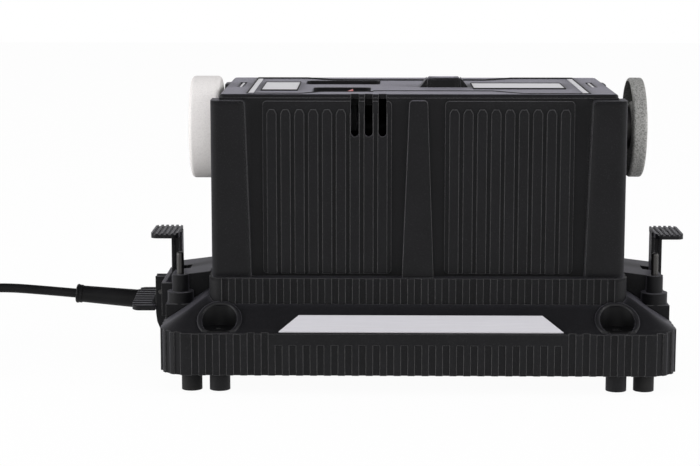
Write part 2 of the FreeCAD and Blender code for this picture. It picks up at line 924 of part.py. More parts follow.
def base_parts():
    envelope = base_envelope()
    node("base_shell", base_shell(envelope))
    at_foot = (d.foot_spacing_x / 2, d.foot_spacing_y / 2)
    at_post = (d.plate_screw_x / 2, d.plate_screw_y / 2)
    inset = 2 * (d.base_wall + d.seat_gap)
    plate = slab(
        d.base_length - inset,
        d.base_depth - inset,
        d.base_corner - d.base_wall - d.seat_gap,
        (d.skirt_lift, PLATE_TOP),
    )
    through = (d.skirt_lift - 1, PLATE_TOP + 1)
    plate_holes = (
        all_four(rod("z", (SCREW_X, SCREW_Y), through, d.screw_tube + 2 * d.seat_gap)),
        all_four(rod("z", at_foot, through, d.foot_stem + d.screw_fit)),
        all_four(rod("z", at_post, through, d.plate_screw + d.screw_fit)),
    )
    for hole in plate_holes:
        plate = cut(plate, hole)
    node("base_plate", plate)
    stem, bulb = d.foot_stem / 2, d.foot_bulb / 2
    foot_profile = (
        (0.0, FLOOR_Z),
        (d.foot_diameter / 2, FLOOR_Z),
        (d.foot_diameter / 2, d.skirt_lift),
        (stem, d.skirt_lift),
        (stem, PLATE_TOP),
        (bulb, PLATE_TOP),
        (stem, PLATE_TOP + d.foot_bulb_height),
        (0.0, PLATE_TOP + d.foot_bulb_height),
    )
    node("rubber_feet", all_four(turned_up(foot_profile, *at_foot)))
    plate_screw = fuse(
        rod("z", at_post, (d.skirt_lift - d.plate_screw_head_height, d.skirt_lift), d.plate_screw_head),
        rod("z", at_post, (d.skirt_lift - 1, d.skirt_lift + d.plate_screw_length), d.plate_screw),
    )
    node("base_screws", group(all_four(plate_screw), all_four(plinth_screw())))
    node("label_plate", label_plate())
    return envelope


def label_plate():
    """A bare trapezium laid on the front slope."""
    tilt = math.atan2(d.shoulder_rise.value, d.shoulder_run.value)
    plate = DOC.addObject("Part::Wedge", "Label")
    bounds = {
        "Xmin": d.label_shift - d.label_bottom / 2,
        "Xmax": d.label_shift + d.label_bottom / 2,
        "X2min": d.label_shift - d.label_top / 2,
        "X2max": d.label_shift + d.label_top / 2,
        "Ymin": 0.0,
        "Ymax": d.label_rise,
        "Zmin": 0.0,
        "Zmax": d.label_thick,
        "Z2min": 0.0,
        "Z2max": d.label_thick,
    }
    for prop, value in bounds.items():
        bind(plate, prop, value)
    turn = FreeCAD.Rotation(FreeCAD.Vector(1, 0, 0), math.degrees(tilt))
    plate.Placement = FreeCAD.Placement(FreeCAD.Vector(), turn)
    inward = d.label_offset * math.cos(tilt)
    return place(plate, y=inward - BASE_Y, z=SKIRT_TOP + SLOPE * inward)


# Plinth, housing and cover

POST_X = INNER_X - d.corner_post / 2
POST_Y = INNER_Y - d.corner_post / 2
BOSS_Z = COVER_UNDER - d.cover_boss


def corner_block(x, y, side, z):
    """A square post at one corner of the housing."""
    return block(across(side, x), across(side, y), z)


def plinth():
    """The fluted foot of the housing, with a floor, a top flange and screw bosses."""
    wall = d.plinth_wall
    outline = (d.plinth_length, d.plinth_depth, d.plinth_corner)
    outer = slab(*outline, (POCKET_Z, PLINTH_TOP))
    room = slab(
        d.plinth_length - 2 * wall,
        d.plinth_depth - 2 * wall,
        d.plinth_corner - wall,
        (PLINTH_FLOOR, PLINTH_TOP - d.plinth_top),
    )
    mouth = block(across(2 * INNER_X), across(2 * INNER_Y), (PLINTH_FLOOR, ABOVE))
    at = (d.plinth_screw_x / 2, d.plinth_screw_y / 2)
    boss = rod("z", at, (POCKET_Z, PLINTH_FLOOR + d.plinth_boss_height), d.plinth_boss)
    post = corner_block(POST_X, POST_Y, d.corner_post, (POCKET_Z, PLINTH_TOP))
    solid = fuse(cut(outer, room, mouth), all_four(boss), all_four(post))
    tie_at = (POST_X, POST_Y)
    tools = (
        flute_cutters(*outline, POCKET_Z - 1, plinth_groove_top, False),
        all_four(plinth_screw_hole()),
        all_four(rod("z", tie_at, (0, ABOVE), d.tie_screw + d.screw_fit)),
        all_four(rod("z", tie_at, (0, POCKET_Z + d.tie_head_height), d.tie_head + 2 * d.seat_gap)),
        rod("z", WIRE_AT, (0, ABOVE), d.wire_hole),
    )
    for tool in tools:
        solid = cut(solid, tool)
    return solid


PILASTER_TOP = HOUSING_TOP - d.pilaster_drop


def corner_pilaster():
    """The corner pilaster at the right rear, wrapped round the corner, with its edge and tips rounded."""
    out_x, out_y = END_X + d.pilaster_proud, SIDE_Y + d.pilaster_proud
    wide, narrow = d.corner_width_bottom, d.corner_width_top
    span = (PLINTH_TOP, PILASTER_TOP)

    def face(edge):
        return ((edge, span[0]), (edge, span[1]), (edge - narrow, span[1]), (edge - wide, span[0]))

    wrapped = fuse(
        prism("y", face(out_x), (SIDE_Y, out_y)),
        prism("x", face(out_y), (END_X, out_x)),
        block((END_X, out_x), (SIDE_Y, out_y), span),
    )

    def outer_edge(edge):
        at = edge.CenterOfMass
        return runs_along(edge, "z") and at.x > float(out_x) - 0.1 and at.y > float(out_y) - 0.1

    blank = rounded(wrapped, d.pilaster_round, outer_edge)

    def top_corner(edge):
        at = edge.CenterOfMass
        if at.z < float(PILASTER_TOP) - 0.1:
            return False
        front = runs_along(edge, "y") and at.x < float(out_x - narrow) + 0.1
        return front or runs_along(edge, "x") and at.y < float(out_y - narrow) + 0.1

    return rounded(blank, d.pilaster_tip, top_corner)


def middle_pilaster():
    """The tapered pilaster in the middle of the rear face, with its two top corners rounded."""
    wide, narrow = d.middle_width_bottom / 2, d.middle_width_top / 2
    face = ((-wide, PLINTH_TOP), (wide, PLINTH_TOP), (narrow, PILASTER_TOP), (-narrow, PILASTER_TOP))
    blank = prism("y", face, (SIDE_Y, SIDE_Y + d.pilaster_proud))

    def top_corner(edge):
        return runs_along(edge, "y") and edge.CenterOfMass.z > float(PILASTER_TOP) - 0.1

    return rounded(blank, d.pilaster_tip, top_corner)


def rib_offsets():
    """How far each rib stands from its panel's middle."""
    count = int(d.rib_count)
    return [(i - (count - 1) / 2) * d.rib_pitch.value for i in range(count)]


def ribbed_panels():
    """Both panels of the rear face: a low plateau with pointed ribs on it."""
    low, high = PLINTH_TOP + d.panel_margin, HOUSING_TOP - d.panel_margin
    plateau_y = SIDE_Y + d.panel_proud
    field = block(across(d.panel_width, d.panel_centre), (SIDE_Y, plateau_y), (low, high))
    plateau = rounded(field, d.panel_corner, lambda edge: runs_along(edge, "y"))
    half, top = d.rib_width / 2, HOUSING_TOP - d.rib_drop
    outline = (
        (-half, low),
        (half, low),
        (half, top - d.rib_tip),
        (half / 2, top),
        (-half / 2, top),
        (-half, top - d.rib_tip),
    )
    rib = prism("y", outline, (plateau_y, plateau_y + d.rib_proud))
    ribs = repeated(rib, [(d.panel_centre.value + offset, 0, 0) for offset in rib_offsets()])
    return both(fuse(plateau, ribs), "x")


def vent_slots(top):
    """Slots with round ends through the front wall, at the panel ribs nearest the middle pilaster."""
    count = int(d.vent_count)
    y = (-SIDE_Y - d.pilaster_proud - 1, d.seat_gap - INNER_Y)
    end_z = HOUSING_TOP - d.vent_height + d.vent_width / 2
    slot = fuse(block(across(d.vent_width), y, (end_z, top)), rod("y", (0, end_z), y, d.vent_width))
    columns = rib_offsets()[-count:]
    return repeated(slot, [(offset - d.panel_centre.value, 0, 0) for offset in columns])


def housing():
    """The box that holds the drive, open at the top and bottom."""
    span = (PLINTH_TOP, HOUSING_TOP)
    walls = cut(
        block(across(d.housing_length), across(d.housing_depth), span),
        block(across(2 * INNER_X), across(2 * INNER_Y), (PLINTH_TOP - 1, HOUSING_TOP + 1)),
    )
    post = corner_block(POST_X, POST_Y, d.corner_post, (PLINTH_TOP, BOSS_Z))
    solid = fuse(
        walls,
        all_four(corner_pilaster()),
        both(middle_pilaster(), "y"),
        both(ribbed_panels(), "y"),
        all_four(post),
    )
    screw_y = d.carrier_screw_y
    screw_span = (INNER_X - 1, END_X - d.seat_gap)
    carrier_hole = rod("x", (screw_y, SPINDLE_Z), screw_span, d.carrier_screw + d.screw_fit)
    tools = (
        vent_slots(HOUSING_TOP + 1),
        rod("x", (0, SPINDLE_Z), (-END_X - 1, END_X + 1), d.spindle_hole),
        all_four(carrier_hole),
        all_four(rod("z", (POST_X, POST_Y), (0, ABOVE), d.tie_screw + d.screw_fit)),
    )
    for tool in tools:
        solid = cut(solid, tool)
    return solid


def panel_outline():
    """The sunk panel of the cover: wide at the ends, with a necked middle."""
    left, right, end = -d.panel_neck_left, d.panel_neck_right, d.panel_end
    run, half, front, back = d.panel_neck_run, d.panel_end_half, d.panel_front, d.panel_back
    return (
        (-end, -half),
        (left, -half),
        (left + run, -front),
        (right - run, -front),
        (right, -half),
        (end, -half),
        (end, half),
        (right, half),
        (right - run, back),
        (left + run, back),
        (left, half),
        (-end, half),
    )


WELL_FLOOR = PANEL_Z - d.well_depth
FRONT_WELL = (across(d.front_well_length, -d.well_centre_x), (-d.front_well_far, -d.front_well_near))
REAR_WELL = (across(d.rear_well_length, -d.well_centre_x), (d.rear_well_near, d.rear_well_far))
LOCK_X = across(d.lock_length, d.lock_centre)
LOCK_TOP = PANEL_Z + d.lock_rise
LOCK_BOLT = (d.lock_centre, d.lock_width / 2 + d.lock_lip + d.lock_bracket_room + d.lock_bolt_reach)


DASH_Y = across(d.dash_length, d.dash_y)
DENT_Z = COVER_TOP - d.dent_depth


def grown(bounds, by):
    return bounds[0] - by, bounds[1] + by


def well_room(x, y):
    """The hollow of a well, with round corners."""
    return rounded(block(x, y, (WELL_FLOOR, ABOVE)), d.well_corner, lambda edge: runs_along(edge, "z"))


def top_cover():
    """The cover: a thin rim over the walls, a sunk panel, two wells and the lock button's ramps."""
    fit = d.seat_gap
    flat_rim = slab(d.housing_length, d.housing_depth, d.cover_corner, (HOUSING_TOP, COVER_TOP))

    def top_edge(edge):
        return edge.BoundBox.ZMin > float(COVER_TOP) - 0.01

    rim = rounded(flat_rim, d.cover_edge, top_edge)
    inside = block(across(2 * (INNER_X - fit)), across(2 * (INNER_Y - fit)), (COVER_UNDER, COVER_TOP))
    wells = [
        block(grown(x, d.well_wall), grown(y, d.well_wall), (WELL_FLOOR - d.well_wall, COVER_TOP))
        for x, y in (FRONT_WELL, REAR_WELL)
    ]
    boss_side = d.corner_post - fit
    boss = corner_block(POST_X - fit / 2, POST_Y - fit / 2, boss_side, (BOSS_Z, COVER_TOP))
    solid = fuse(rim, inside, *wells, all_four(boss))
    solid = cut(solid, prism("z", panel_outline(), (PANEL_Z, ABOVE)))
    ramp_x = grown(LOCK_X, d.lock_ramp)
    sharp_ramp = prism(
        "y",
        (
            (ramp_x[0], COVER_UNDER),
            (ramp_x[1], COVER_UNDER),
            (ramp_x[1], PANEL_Z),
            (LOCK_X[1] + d.lock_gap, LOCK_TOP),
            (LOCK_X[0] - d.lock_gap, LOCK_TOP),
            (ramp_x[0], PANEL_Z),
        ),
        across(d.lock_width),
    )

    def ramp_edge(edge):
        return runs_along(edge, "y") and edge.CenterOfMass.z > float(LOCK_TOP) - 0.01

    solid = fuse(solid, rounded(sharp_ramp, d.lock_ramp_round, ramp_edge))
    tools = [well_room(*FRONT_WELL), well_room(*REAR_WELL)]
    lock_hole = grown(LOCK_X, d.lock_gap), grown(across(d.lock_width), d.lock_gap)
    inner = d.switch_length - 2 * d.switch_wall + 2 * fit, d.switch_width - 2 * d.switch_wall + 2 * fit
    tools += [
        block(*lock_hole, (COVER_UNDER - 1, ABOVE)),
        block(across(inner[0], -d.well_centre_x), across(inner[1], -d.rocker_y), (SPINDLE_Z, ABOVE)),
        vent_slots(ABOVE),
        both(block(across(d.dent_width, d.dash_x), DASH_Y, (DENT_Z, ABOVE)), "x"),
        all_four(rod("z", (POST_X, POST_Y), (0, BOSS_Z + d.tie_bite), d.tie_screw + d.screw_fit)),
        both(rod("z", LOCK_BOLT, (SPINDLE_Z, PANEL_Z - fit), d.lock_bolt + d.screw_fit), "y"),
    ]
    for tool in tools:
        solid = cut(solid, tool)
    return solid


def cover_trim():
    """Bare plates and strips laid on the sunk panel, and a dash in each end's dent."""
    z = (PANEL_Z, PANEL_Z + d.plate_card)
    left = block((-d.left_card_out, -d.left_card_in), (-d.left_card_front, d.left_card_back), z)
    right = block((d.right_card_in, d.right_card_out), (-d.right_card_front, d.right_card_back), z)
    strip = block(across(d.strip_width, d.strip_centre), (-d.strip_front, d.strip_back), z)
    dash = block(across(d.dash_width, d.dash_x), grown(DASH_Y, -d.dash_width), (DENT_Z, DENT_Z + d.plate_card))
    return group(left, right, strip, mirrored(strip, "x"), dash, mirrored(dash, "x"))


def tie_screw():
    at = (POST_X, POST_Y)
    head = rod("z", at, (POCKET_Z, POCKET_Z + d.tie_head_height), d.tie_head)
    return fuse(head, rod("z", at, (POCKET_Z, BOSS_Z + d.tie_bite), d.tie_screw))


def plinth_screw():
    at = (d.plinth_screw_x / 2, d.plinth_screw_y / 2)
    under = POCKET_Z - d.pocket_floor
    head = rod("z", at, (under - d.plinth_screw_head_height, under), d.plinth_screw_head)
    return fuse(head, rod("z", at, (under - 1, PLINTH_FLOOR + d.plinth_boss_height), d.plinth_screw))


def housing_parts():
    node("plinth", plinth())
    node("housing", housing())
    node("top_cover", top_cover())
    node("cover_plates", cover_trim())
    node("tie_screws", all_four(tie_screw()))


# Spindle, bearings and wheels

BEARING_OUT = INNER_X - d.bearing_step
BEARING_IN = BEARING_OUT - d.bearing_width
WHEEL_IN = END_X + d.wheel_gap
WHEEL_OUT = WHEEL_IN + d.wheel_width
SINK_X = WHEEL_OUT - d.wheel_sink_depth
NUT_X = SINK_X + d.washer_thick
LEFT_END = NUT_X + d.nut_height + d.thread_proud
CUP_OUT = END_X + d.cup_gap + d.cup_rim
DISH_OUT = CUP_OUT - d.cup_dish_depth
DISH_IN = DISH_OUT - d.cup_sheet
RIGHT_END = DISH_OUT + d.thin_nut_height
JOURNAL = d.spindle_end / 2
BORE = JOURNAL + d.running_fit


def rounded_rim(item, radius, rim):
    """Round the circular edges that lie on a rim radius."""

    def on_rim(edge):
        circular = getattr(edge.Curve, "Radius", None)
        return circular is not None and abs(circular - float(rim)) < 0.01

    return rounded(item, radius, on_rim)


def bearing_carrier():
    """A bracket screwed inside the right end wall, with a seat for one ball bearing."""
    face = (INNER_X - d.carrier_thick, INNER_X)
    boss_in = INNER_X - d.carrier_depth
    plate = block(face, across(d.carrier_width), across(d.carrier_height, SPINDLE_Z))
    boss = rod("x", (0, SPINDLE_Z), (boss_in, INNER_X), d.bearing_outer + 2 * d.carrier_wall)
    screw = rod("x", (d.carrier_screw_y, SPINDLE_Z), grown(face, 1), d.carrier_screw + d.screw_fit)
    return cut(
        fuse(plate, boss),
        rod("x", (0, SPINDLE_Z), (boss_in - 1, BEARING_OUT), d.bearing_outer + 2 * d.running_fit),
        rod("x", (0, SPINDLE_Z), (boss_in - 1, INNER_X + 1), d.spacer_diameter + 2 * d.bearing_race),
        both(screw, "y"),
    )


def bearing():
    """A shielded ball bearing, with its two races standing proud of the shields."""
    outer, race, sunk = d.bearing_outer / 2, d.bearing_race, d.bearing_shield
    inner_race, outer_race = BORE + race, outer - race
    return turned(
        (
            (BEARING_IN, BORE),
            (BEARING_OUT, BORE),
            (BEARING_OUT, inner_race),
            (BEARING_OUT - sunk, inner_race),
            (BEARING_OUT - sunk, outer_race),
            (BEARING_OUT, outer_race),
            (BEARING_OUT, outer),
            (BEARING_IN, outer),
            (BEARING_IN, outer_race),
            (BEARING_IN + sunk, outer_race),
            (BEARING_IN + sunk, inner_race),
            (BEARING_IN, inner_race),
        ),
        SPINDLE_Z,
    )


def carrier_screw():
    at = (d.carrier_screw_y, SPINDLE_Z)
    under = INNER_X - d.carrier_thick
    head = rod("x", at, (under - d.carrier_screw_head_height, under), d.carrier_screw_head)
    return fuse(head, rod("x", at, (under - 1, END_X - 2 * d.seat_gap), d.carrier_screw))


def spindle():
    """The through shaft: a stout middle, thinner ends and a cross hole for the lock pin."""
    shoulder, middle = BEARING_IN - d.seat_gap, d.spindle_middle / 2
    shaft = turned(
        (
            (-LEFT_END, 0.0),
            (-LEFT_END, JOURNAL),
            (-shoulder, JOURNAL),
            (-shoulder, middle),
            (shoulder, middle),
            (shoulder, JOURNAL),
            (RIGHT_END, JOURNAL),
            (RIGHT_END, 0.0),
        ),
        SPINDLE_Z,
    )
    return cut(shaft, rod("z", (d.lock_centre, 0), (MOTOR_Z, ABOVE), d.lock_hole))


def stepped_hub(radius, near, far):
    """A spacer from the right bearing that widens into a hub between two planes."""
    spacer = d.spacer_diameter / 2
    return turned(
        (
            (BEARING_OUT, BORE),
            (far, BORE),
            (far, radius),
            (near, radius),
            (near, spacer),
            (BEARING_OUT, spacer),
        ),
        SPINDLE_Z,
    )


def grinding_wheel():
    """The solid wheel, with a sunk face for its nut; drawn on the right and used on the left."""
    rim, sink = d.wheel_diameter / 2, d.wheel_sink / 2
    blank = turned(
        (
            (WHEEL_IN, BORE),
            (SINK_X, BORE),
            (SINK_X, sink),
            (WHEEL_OUT, sink),
            (WHEEL_OUT, rim),
            (WHEEL_IN, rim),
        ),
        SPINDLE_Z,
    )
    return rounded_rim(blank, d.wheel_round, rim)


def diamond_cup():
    """The thin cup wheel, open towards the housing and dished for its nut."""
    rim, sheet, dish = d.cup_diameter / 2, d.cup_sheet, d.cup_dish
    disc_in = CUP_OUT - sheet
    blank = turned(
        (
            (DISH_IN, BORE),
            (DISH_OUT, BORE),
            (DISH_OUT, dish),
            (CUP_OUT, dish + 2 * sheet),
            (CUP_OUT, rim),
            (CUP_OUT - d.cup_rim, rim),
            (CUP_OUT - d.cup_rim, rim - sheet),
            (disc_in, rim - sheet),
            (disc_in, dish + 3 * sheet),
            (DISH_IN, dish + sheet),
        ),
        SPINDLE_Z,
    )
    return rounded_rim(blank, sheet * 0.8, rim)


def nut_on_end(start, height):
    blank = hexagon("x", (0, SPINDLE_Z), (start, start + height), d.nut_flats)
    return cut(blank, rod("x", (0, SPINDLE_Z), (start - 1, start + height + 1), 2 * BORE))


def spindle_parts():
    carrier = bearing_carrier()
    node("right_bearing_carrier", carrier)
    node("left_bearing_carrier", mirrored(carrier, "x"))
    node("spindle_bearings", both(bearing(), "x"))
    node("spindle", spindle())
    inner_flange = stepped_hub(d.flange_diameter / 2, WHEEL_IN - d.flange_thick, WHEEL_IN)
    node("wheel_flange", mirrored(inner_flange, "x"))
    node("grinding_wheel", mirrored(grinding_wheel(), "x"))
    washer = tube("x", (0, SPINDLE_Z), (SINK_X, NUT_X), d.washer_diameter, 2 * BORE)
    nut = nut_on_end(NUT_X, d.nut_height)
    thin_nut = nut_on_end(DISH_OUT, d.thin_nut_height)
    node("wheel_nuts", group(mirrored(washer, "x"), mirrored(nut, "x"), thin_nut))
    node("cup_hub", stepped_hub(d.hub_diameter / 2, END_X + d.seat_gap, DISH_IN))
    node("diamond_cup", diamond_cup())


# Belt drive and motor

SEAT = across(d.belt_width + 2 * d.belt_gap, d.belt_x)
MOTOR_LEFT = -d.motor_left
MOTOR_RIGHT = MOTOR_LEFT + d.motor_length
BELL_LEFT = MOTOR_LEFT - d.bell_length
SHAFT = d.motor_shaft / 2
SHAFT_BORE = SHAFT + d.running_fit
CORE_LEFT = MOTOR_RIGHT - d.motor_wall - d.bush_length - d.winding_length - d.core_length
CORE_RIGHT = CORE_LEFT + d.core_length
COMMUTATOR_RIGHT = CORE_LEFT - d.winding_length - d.commutator_gap
COMMUTATOR_LEFT = COMMUTATOR_RIGHT - d.commutator_length
FAN_RIGHT = BELL_LEFT - d.fan_gap
FAN_LEFT = FAN_RIGHT - d.fan_thick - d.fan_blade
CAN_INSIDE = d.motor_diameter / 2 - d.motor_wall


def pulley(seat_diameter, bore, height):
    """A flat-belt pulley with a lip on each side."""
    seat = seat_diameter / 2
    lip = seat + d.pulley_lip_rise
    left, right = SEAT[0] - d.pulley_lip, SEAT[1] + d.pulley_lip
    return turned(
        (
            (left, bore),
            (right, bore),
            (right, lip),
            (SEAT[1], lip),
            (SEAT[1], seat),
            (SEAT[0], seat),
            (SEAT[0], lip),
            (left, lip),
        ),
        height,
    )


def belt_loop(grow):
    """The face inside an open belt round both pulleys, at a distance from their seats."""
    top, low = SPINDLE_Z.value, MOTOR_Z.value
    big = d.spindle_pulley.value / 2 + grow
    small = d.motor_pulley.value / 2 + grow
    lean = math.asin((big - small) / (top - low))
    x = SEAT[0].value + d.belt_gap.value

    def at(radius, height, angle):
        return FreeCAD.Vector(x, radius * math.cos(angle), height + radius * math.sin(angle))

    right, left = -lean, math.pi + lean
    edges = [
        Part.Arc(at(big, top, right), at(big, top, math.pi / 2), at(big, top, left)).toShape(),
        Part.LineSegment(at(big, top, left), at(small, low, left)).toShape(),
        Part.Arc(at(small, low, left), at(small, low, -math.pi / 2), at(small, low, right)).toShape(),
        Part.LineSegment(at(small, low, right), at(big, top, right)).toShape(),
    ]
    return Part.Face(Part.Wire(edges))


def drive_belt():
    inside = d.belt_gap.value
    along = FreeCAD.Vector(d.belt_width.value, 0, 0)
    outer = belt_loop(inside + d.belt_thick.value).extrude(along)
    return made(outer.cut(belt_loop(inside).extrude(along)), "Belt")


def motor_can():
    """The motor's drawn can, closed on the right round a bush."""
    outer, inside, bush = d.motor_diameter / 2, CAN_INSIDE, d.bush_outer / 2
    return turned(
        (
            (MOTOR_LEFT, inside),
            (MOTOR_RIGHT - d.motor_wall, inside),
            (MOTOR_RIGHT - d.motor_wall, bush),
            (MOTOR_RIGHT, bush),
            (MOTOR_RIGHT, outer),
            (MOTOR_LEFT, outer),
        ),
        MOTOR_Z,
    )


def end_bell():
    """The moulded cap on the motor's left end, with air windows."""
    cap = tube("x", (0, MOTOR_Z), (BELL_LEFT, MOTOR_LEFT), d.motor_diameter, d.bush_outer)
    room_span = (BELL_LEFT + d.motor_wall, MOTOR_LEFT + 1)
    room = tube("x", (0, MOTOR_Z), room_span, 2 * CAN_INSIDE, d.bush_outer * 1.5)
    window = rod("x", (CAN_INSIDE * 0.7, MOTOR_Z), (BELL_LEFT - 1, MOTOR_LEFT), d.bush_outer / 2)
    return cut(cap, room, both(window, "y"))


def motor_bush(left):
    return tube("x", (0, MOTOR_Z), (left, left + d.bush_length), d.bush_outer, 2 * SHAFT_BORE)


def magnets():
    """Two arc magnets inside the can, one on each side of the armature."""
    span = across(d.magnet_length, (CORE_LEFT + CORE_RIGHT) / 2)
    ring = tube("x", (0, MOTOR_Z), span, 2 * CAN_INSIDE, 2 * (CAN_INSIDE - d.magnet_thick))
    reach = across(2 * d.motor_diameter, MOTOR_Z)
    return cut(ring, block(grown(span, 1), across(d.magnet_split), reach))


def armature_core():
    """A stack of slotted laminations."""
    core = tube("x", (0, MOTOR_Z), (CORE_LEFT, CORE_RIGHT), d.core_diameter, 2 * SHAFT_BORE)
    radius, deep, wide = d.core_diameter.value / 2, d.core_slot_depth.value, d.core_slot.value
    centre = FreeCAD.Vector(0, 0, MOTOR_Z.value)
    slots = []
    for i in range(int(d.core_slots)):
        start = FreeCAD.Vector(CORE_LEFT.value - 1, -wide / 2, MOTOR_Z.value + radius - deep)
        slot = Part.makeBox(d.core_length.value + 2, wide, deep + 1, start)
        slot.rotate(centre, FreeCAD.Vector(1, 0, 0), 360.0 * i / int(d.core_slots))
        slots.append(slot)
    return cut(core, made(Part.makeCompound(slots), "Slots"))


def fan():
    """A disc with straight blades on its outer side."""
    at = (0, MOTOR_Z)
    disc = rod("x", at, (FAN_RIGHT - d.fan_thick, FAN_RIGHT), d.fan_diameter)
    hub = rod("x", at, (FAN_LEFT, FAN_RIGHT), d.fan_hub)
    inner, outer = d.fan_hub.value / 2 - 1, d.fan_diameter.value / 2
    centre = FreeCAD.Vector(0, 0, MOTOR_Z.value)
    blades = []
    for i in range(int(d.fan_blades)):
        start = FreeCAD.Vector(FAN_LEFT.value, -d.fan_thick.value / 2, MOTOR_Z.value + inner)
        depth = d.fan_blade.value + d.fan_thick.value / 2
        blade = Part.makeBox(depth, d.fan_thick.value, outer - inner, start)
        blade.rotate(centre, FreeCAD.Vector(1, 0, 0), 360.0 * i / int(d.fan_blades))
        blades.append(blade)
    bore = rod("x", at, grown((FAN_LEFT, FAN_RIGHT), 1), 2 * SHAFT_BORE)
    trim = rod("x", at, (FAN_LEFT, FAN_RIGHT), d.fan_diameter)
    return cut(common(fuse(disc, hub, made(Part.makeCompound(blades), "Blades")), trim), bore)


def brush_pair():
    """A carbon brush and its holder on the rear side of the commutator."""
    x = across(d.brush_width, (COMMUTATOR_LEFT + COMMUTATOR_RIGHT) / 2)
    z = across(d.brush_width, MOTOR_Z)
    start = d.commutator_diameter / 2 + d.brush_gap
    brush = block(x, (start, start + d.brush_length), z)
    wall = d.holder_wall
    outer = block(grown(x, wall), (start + wall, CAN_INSIDE - d.brush_gap * 2), grown(z, wall))
    pad = block(grown(x, wall), (CAN_INSIDE - 2 * wall, CAN_INSIDE - d.brush_gap * 2), grown(z, wall))
    holder = fuse(cut(outer, block(x, (start, start + d.brush_length), z)), pad)
    return both(brush, "y"), both(holder, "y")


def cradle():
    """The saddle under the motor, standing on the plinth's floor."""
    middle = (MOTOR_LEFT + MOTOR_RIGHT) / 2
    z = (PLINTH_FLOOR, MOTOR_Z - d.cradle_top_drop)
    body = block(across(d.cradle_length, middle), across(d.cradle_width), z)
    at = (middle, d.strap_screw_y / 2)
    bolt = rod("z", at, (z[1] - d.strap_screw_length, ABOVE), d.strap_screw + d.screw_fit)
    return cut(body, rod("x", (0, MOTOR_Z), (-END_X, END_X), d.motor_diameter), both(bolt, "y"))


def strap():
    """The band over the motor, with a foot on each side of the cradle, and its screws."""
    middle = (MOTOR_LEFT + MOTOR_RIGHT) / 2
    x = across(d.strap_width, middle)
    foot_z = MOTOR_Z - d.cradle_top_drop
    outer = d.motor_diameter + 2 * d.strap_thick
    band = common(
        tube("x", (0, MOTOR_Z), x, outer, d.motor_diameter),
        block(x, across(outer), (foot_z, SPINDLE_Z)),
    )
    foot = cut(
        block(x, across(d.cradle_width), (foot_z, foot_z + d.strap_thick)),
        rod("x", (0, MOTOR_Z), grown(x, 1), d.motor_diameter),
    )
    at = (middle, d.strap_screw_y / 2)
    hole = rod("z", at, (PLINTH_FLOOR, SPINDLE_Z), d.strap_screw + d.screw_fit)
    head_z = foot_z + d.strap_thick
    screw = fuse(
        rod("z", at, (head_z, head_z + d.strap_screw_head_height), d.strap_screw_head),
        rod("z", at, (foot_z - d.strap_screw_length, head_z + 1), d.strap_screw),
    )
    return cut(fuse(band, foot), both(hole, "y")), both(screw, "y")


def motor_parts():
    node("spindle_pulley", pulley(d.spindle_pulley, d.spindle_middle / 2 + d.running_fit, SPINDLE_Z))
    node("motor_pulley", pulley(d.motor_pulley, SHAFT_BORE, MOTOR_Z))
    node("drive_belt", drive_belt())
    node("motor_can", motor_can())
    node("motor_end_bell", end_bell())
    node("motor_bushes", group(motor_bush(BELL_LEFT), motor_bush(MOTOR_RIGHT - d.bush_length)))
    node("motor_magnets", magnets())
    pulley_end = SEAT[1] + d.pulley_lip
    node("motor_shaft", rod("x", (0, MOTOR_Z), (FAN_LEFT, pulley_end), d.motor_shaft))
    node("armature_core", armature_core())
    winding = (
        tube("x", (0, MOTOR_Z), span, d.winding_outer, d.winding_inner)
        for span in ((CORE_LEFT - d.winding_length, CORE_LEFT), (CORE_RIGHT, CORE_RIGHT + d.winding_length))
    )
    node("armature_winding", group(*winding))
    commutator_span = (COMMUTATOR_LEFT, COMMUTATOR_RIGHT)
    node("commutator", tube("x", (0, MOTOR_Z), commutator_span, d.commutator_diameter, 2 * SHAFT_BORE))
    node("cooling_fan", fan())
    brushes, holders = brush_pair()
    node("carbon_brushes", brushes)
    node("brush_holders", holders)
    node("motor_cradle", cradle())
    band, screws = strap()
    node("motor_strap", band)
    node("inner_screws", group(all_four(carrier_screw()), both(lock_bolt(), "y"), screws))


def board_parts():
    """The supply board on the plinth's floor, with its terminal block, capacitor and rectifier."""
    x, y = (-d.board_outer, -d.board_inner), across(d.board_width)
    under = PLINTH_FLOOR + d.board_lift
    top = under + d.board_thick
    leg = d.board_leg
    legs = [
        block((at, at + leg), (side, side + leg), (PLINTH_FLOOR, under))
        for at in (x[0], x[1] - leg)
        for side in (y[0], y[1] - leg)
    ]
    node("supply_board", fuse(block(x, y, (under, top)), *legs))
    middle = (x[0] + x[1]) / 2
    terminal_y = (y[1] - d.terminal_width - 2, y[1] - 2)
    terminal = block(across(d.terminal_length, middle), terminal_y, (top, top + d.terminal_height))
    rectifier_y = across(d.rectifier_side)
    rectifier = block(across(d.rectifier_side, middle), rectifier_y, (top, top + d.rectifier_height))
    capacitor_z = top + d.capacitor_diameter / 2
    capacitor_y = (y[0] + 2, y[0] + 2 + d.capacitor_length)
    capacitor = rod("y", (middle, capacitor_z), capacitor_y, d.capacitor_diameter)
    bed = block(across(d.capacitor_diameter / 2, middle), capacitor_y, (top, capacitor_z))
    node("board_terminals", terminal)
    node("board_components", group(fuse(capacitor, bed), rectifier))


# Switch and spindle lock on the cover

PIVOT_Z = WELL_FLOOR + d.rocker_pivot_lift
ROCKER_HALF = d.switch_length / 2 - 2 * d.switch_wall - d.rocker_gap
ROCKER_HEEL = ROCKER_HALF * d.rocker_heel
ROCKER_TILT = math.radians(d.rocker_tilt.value)


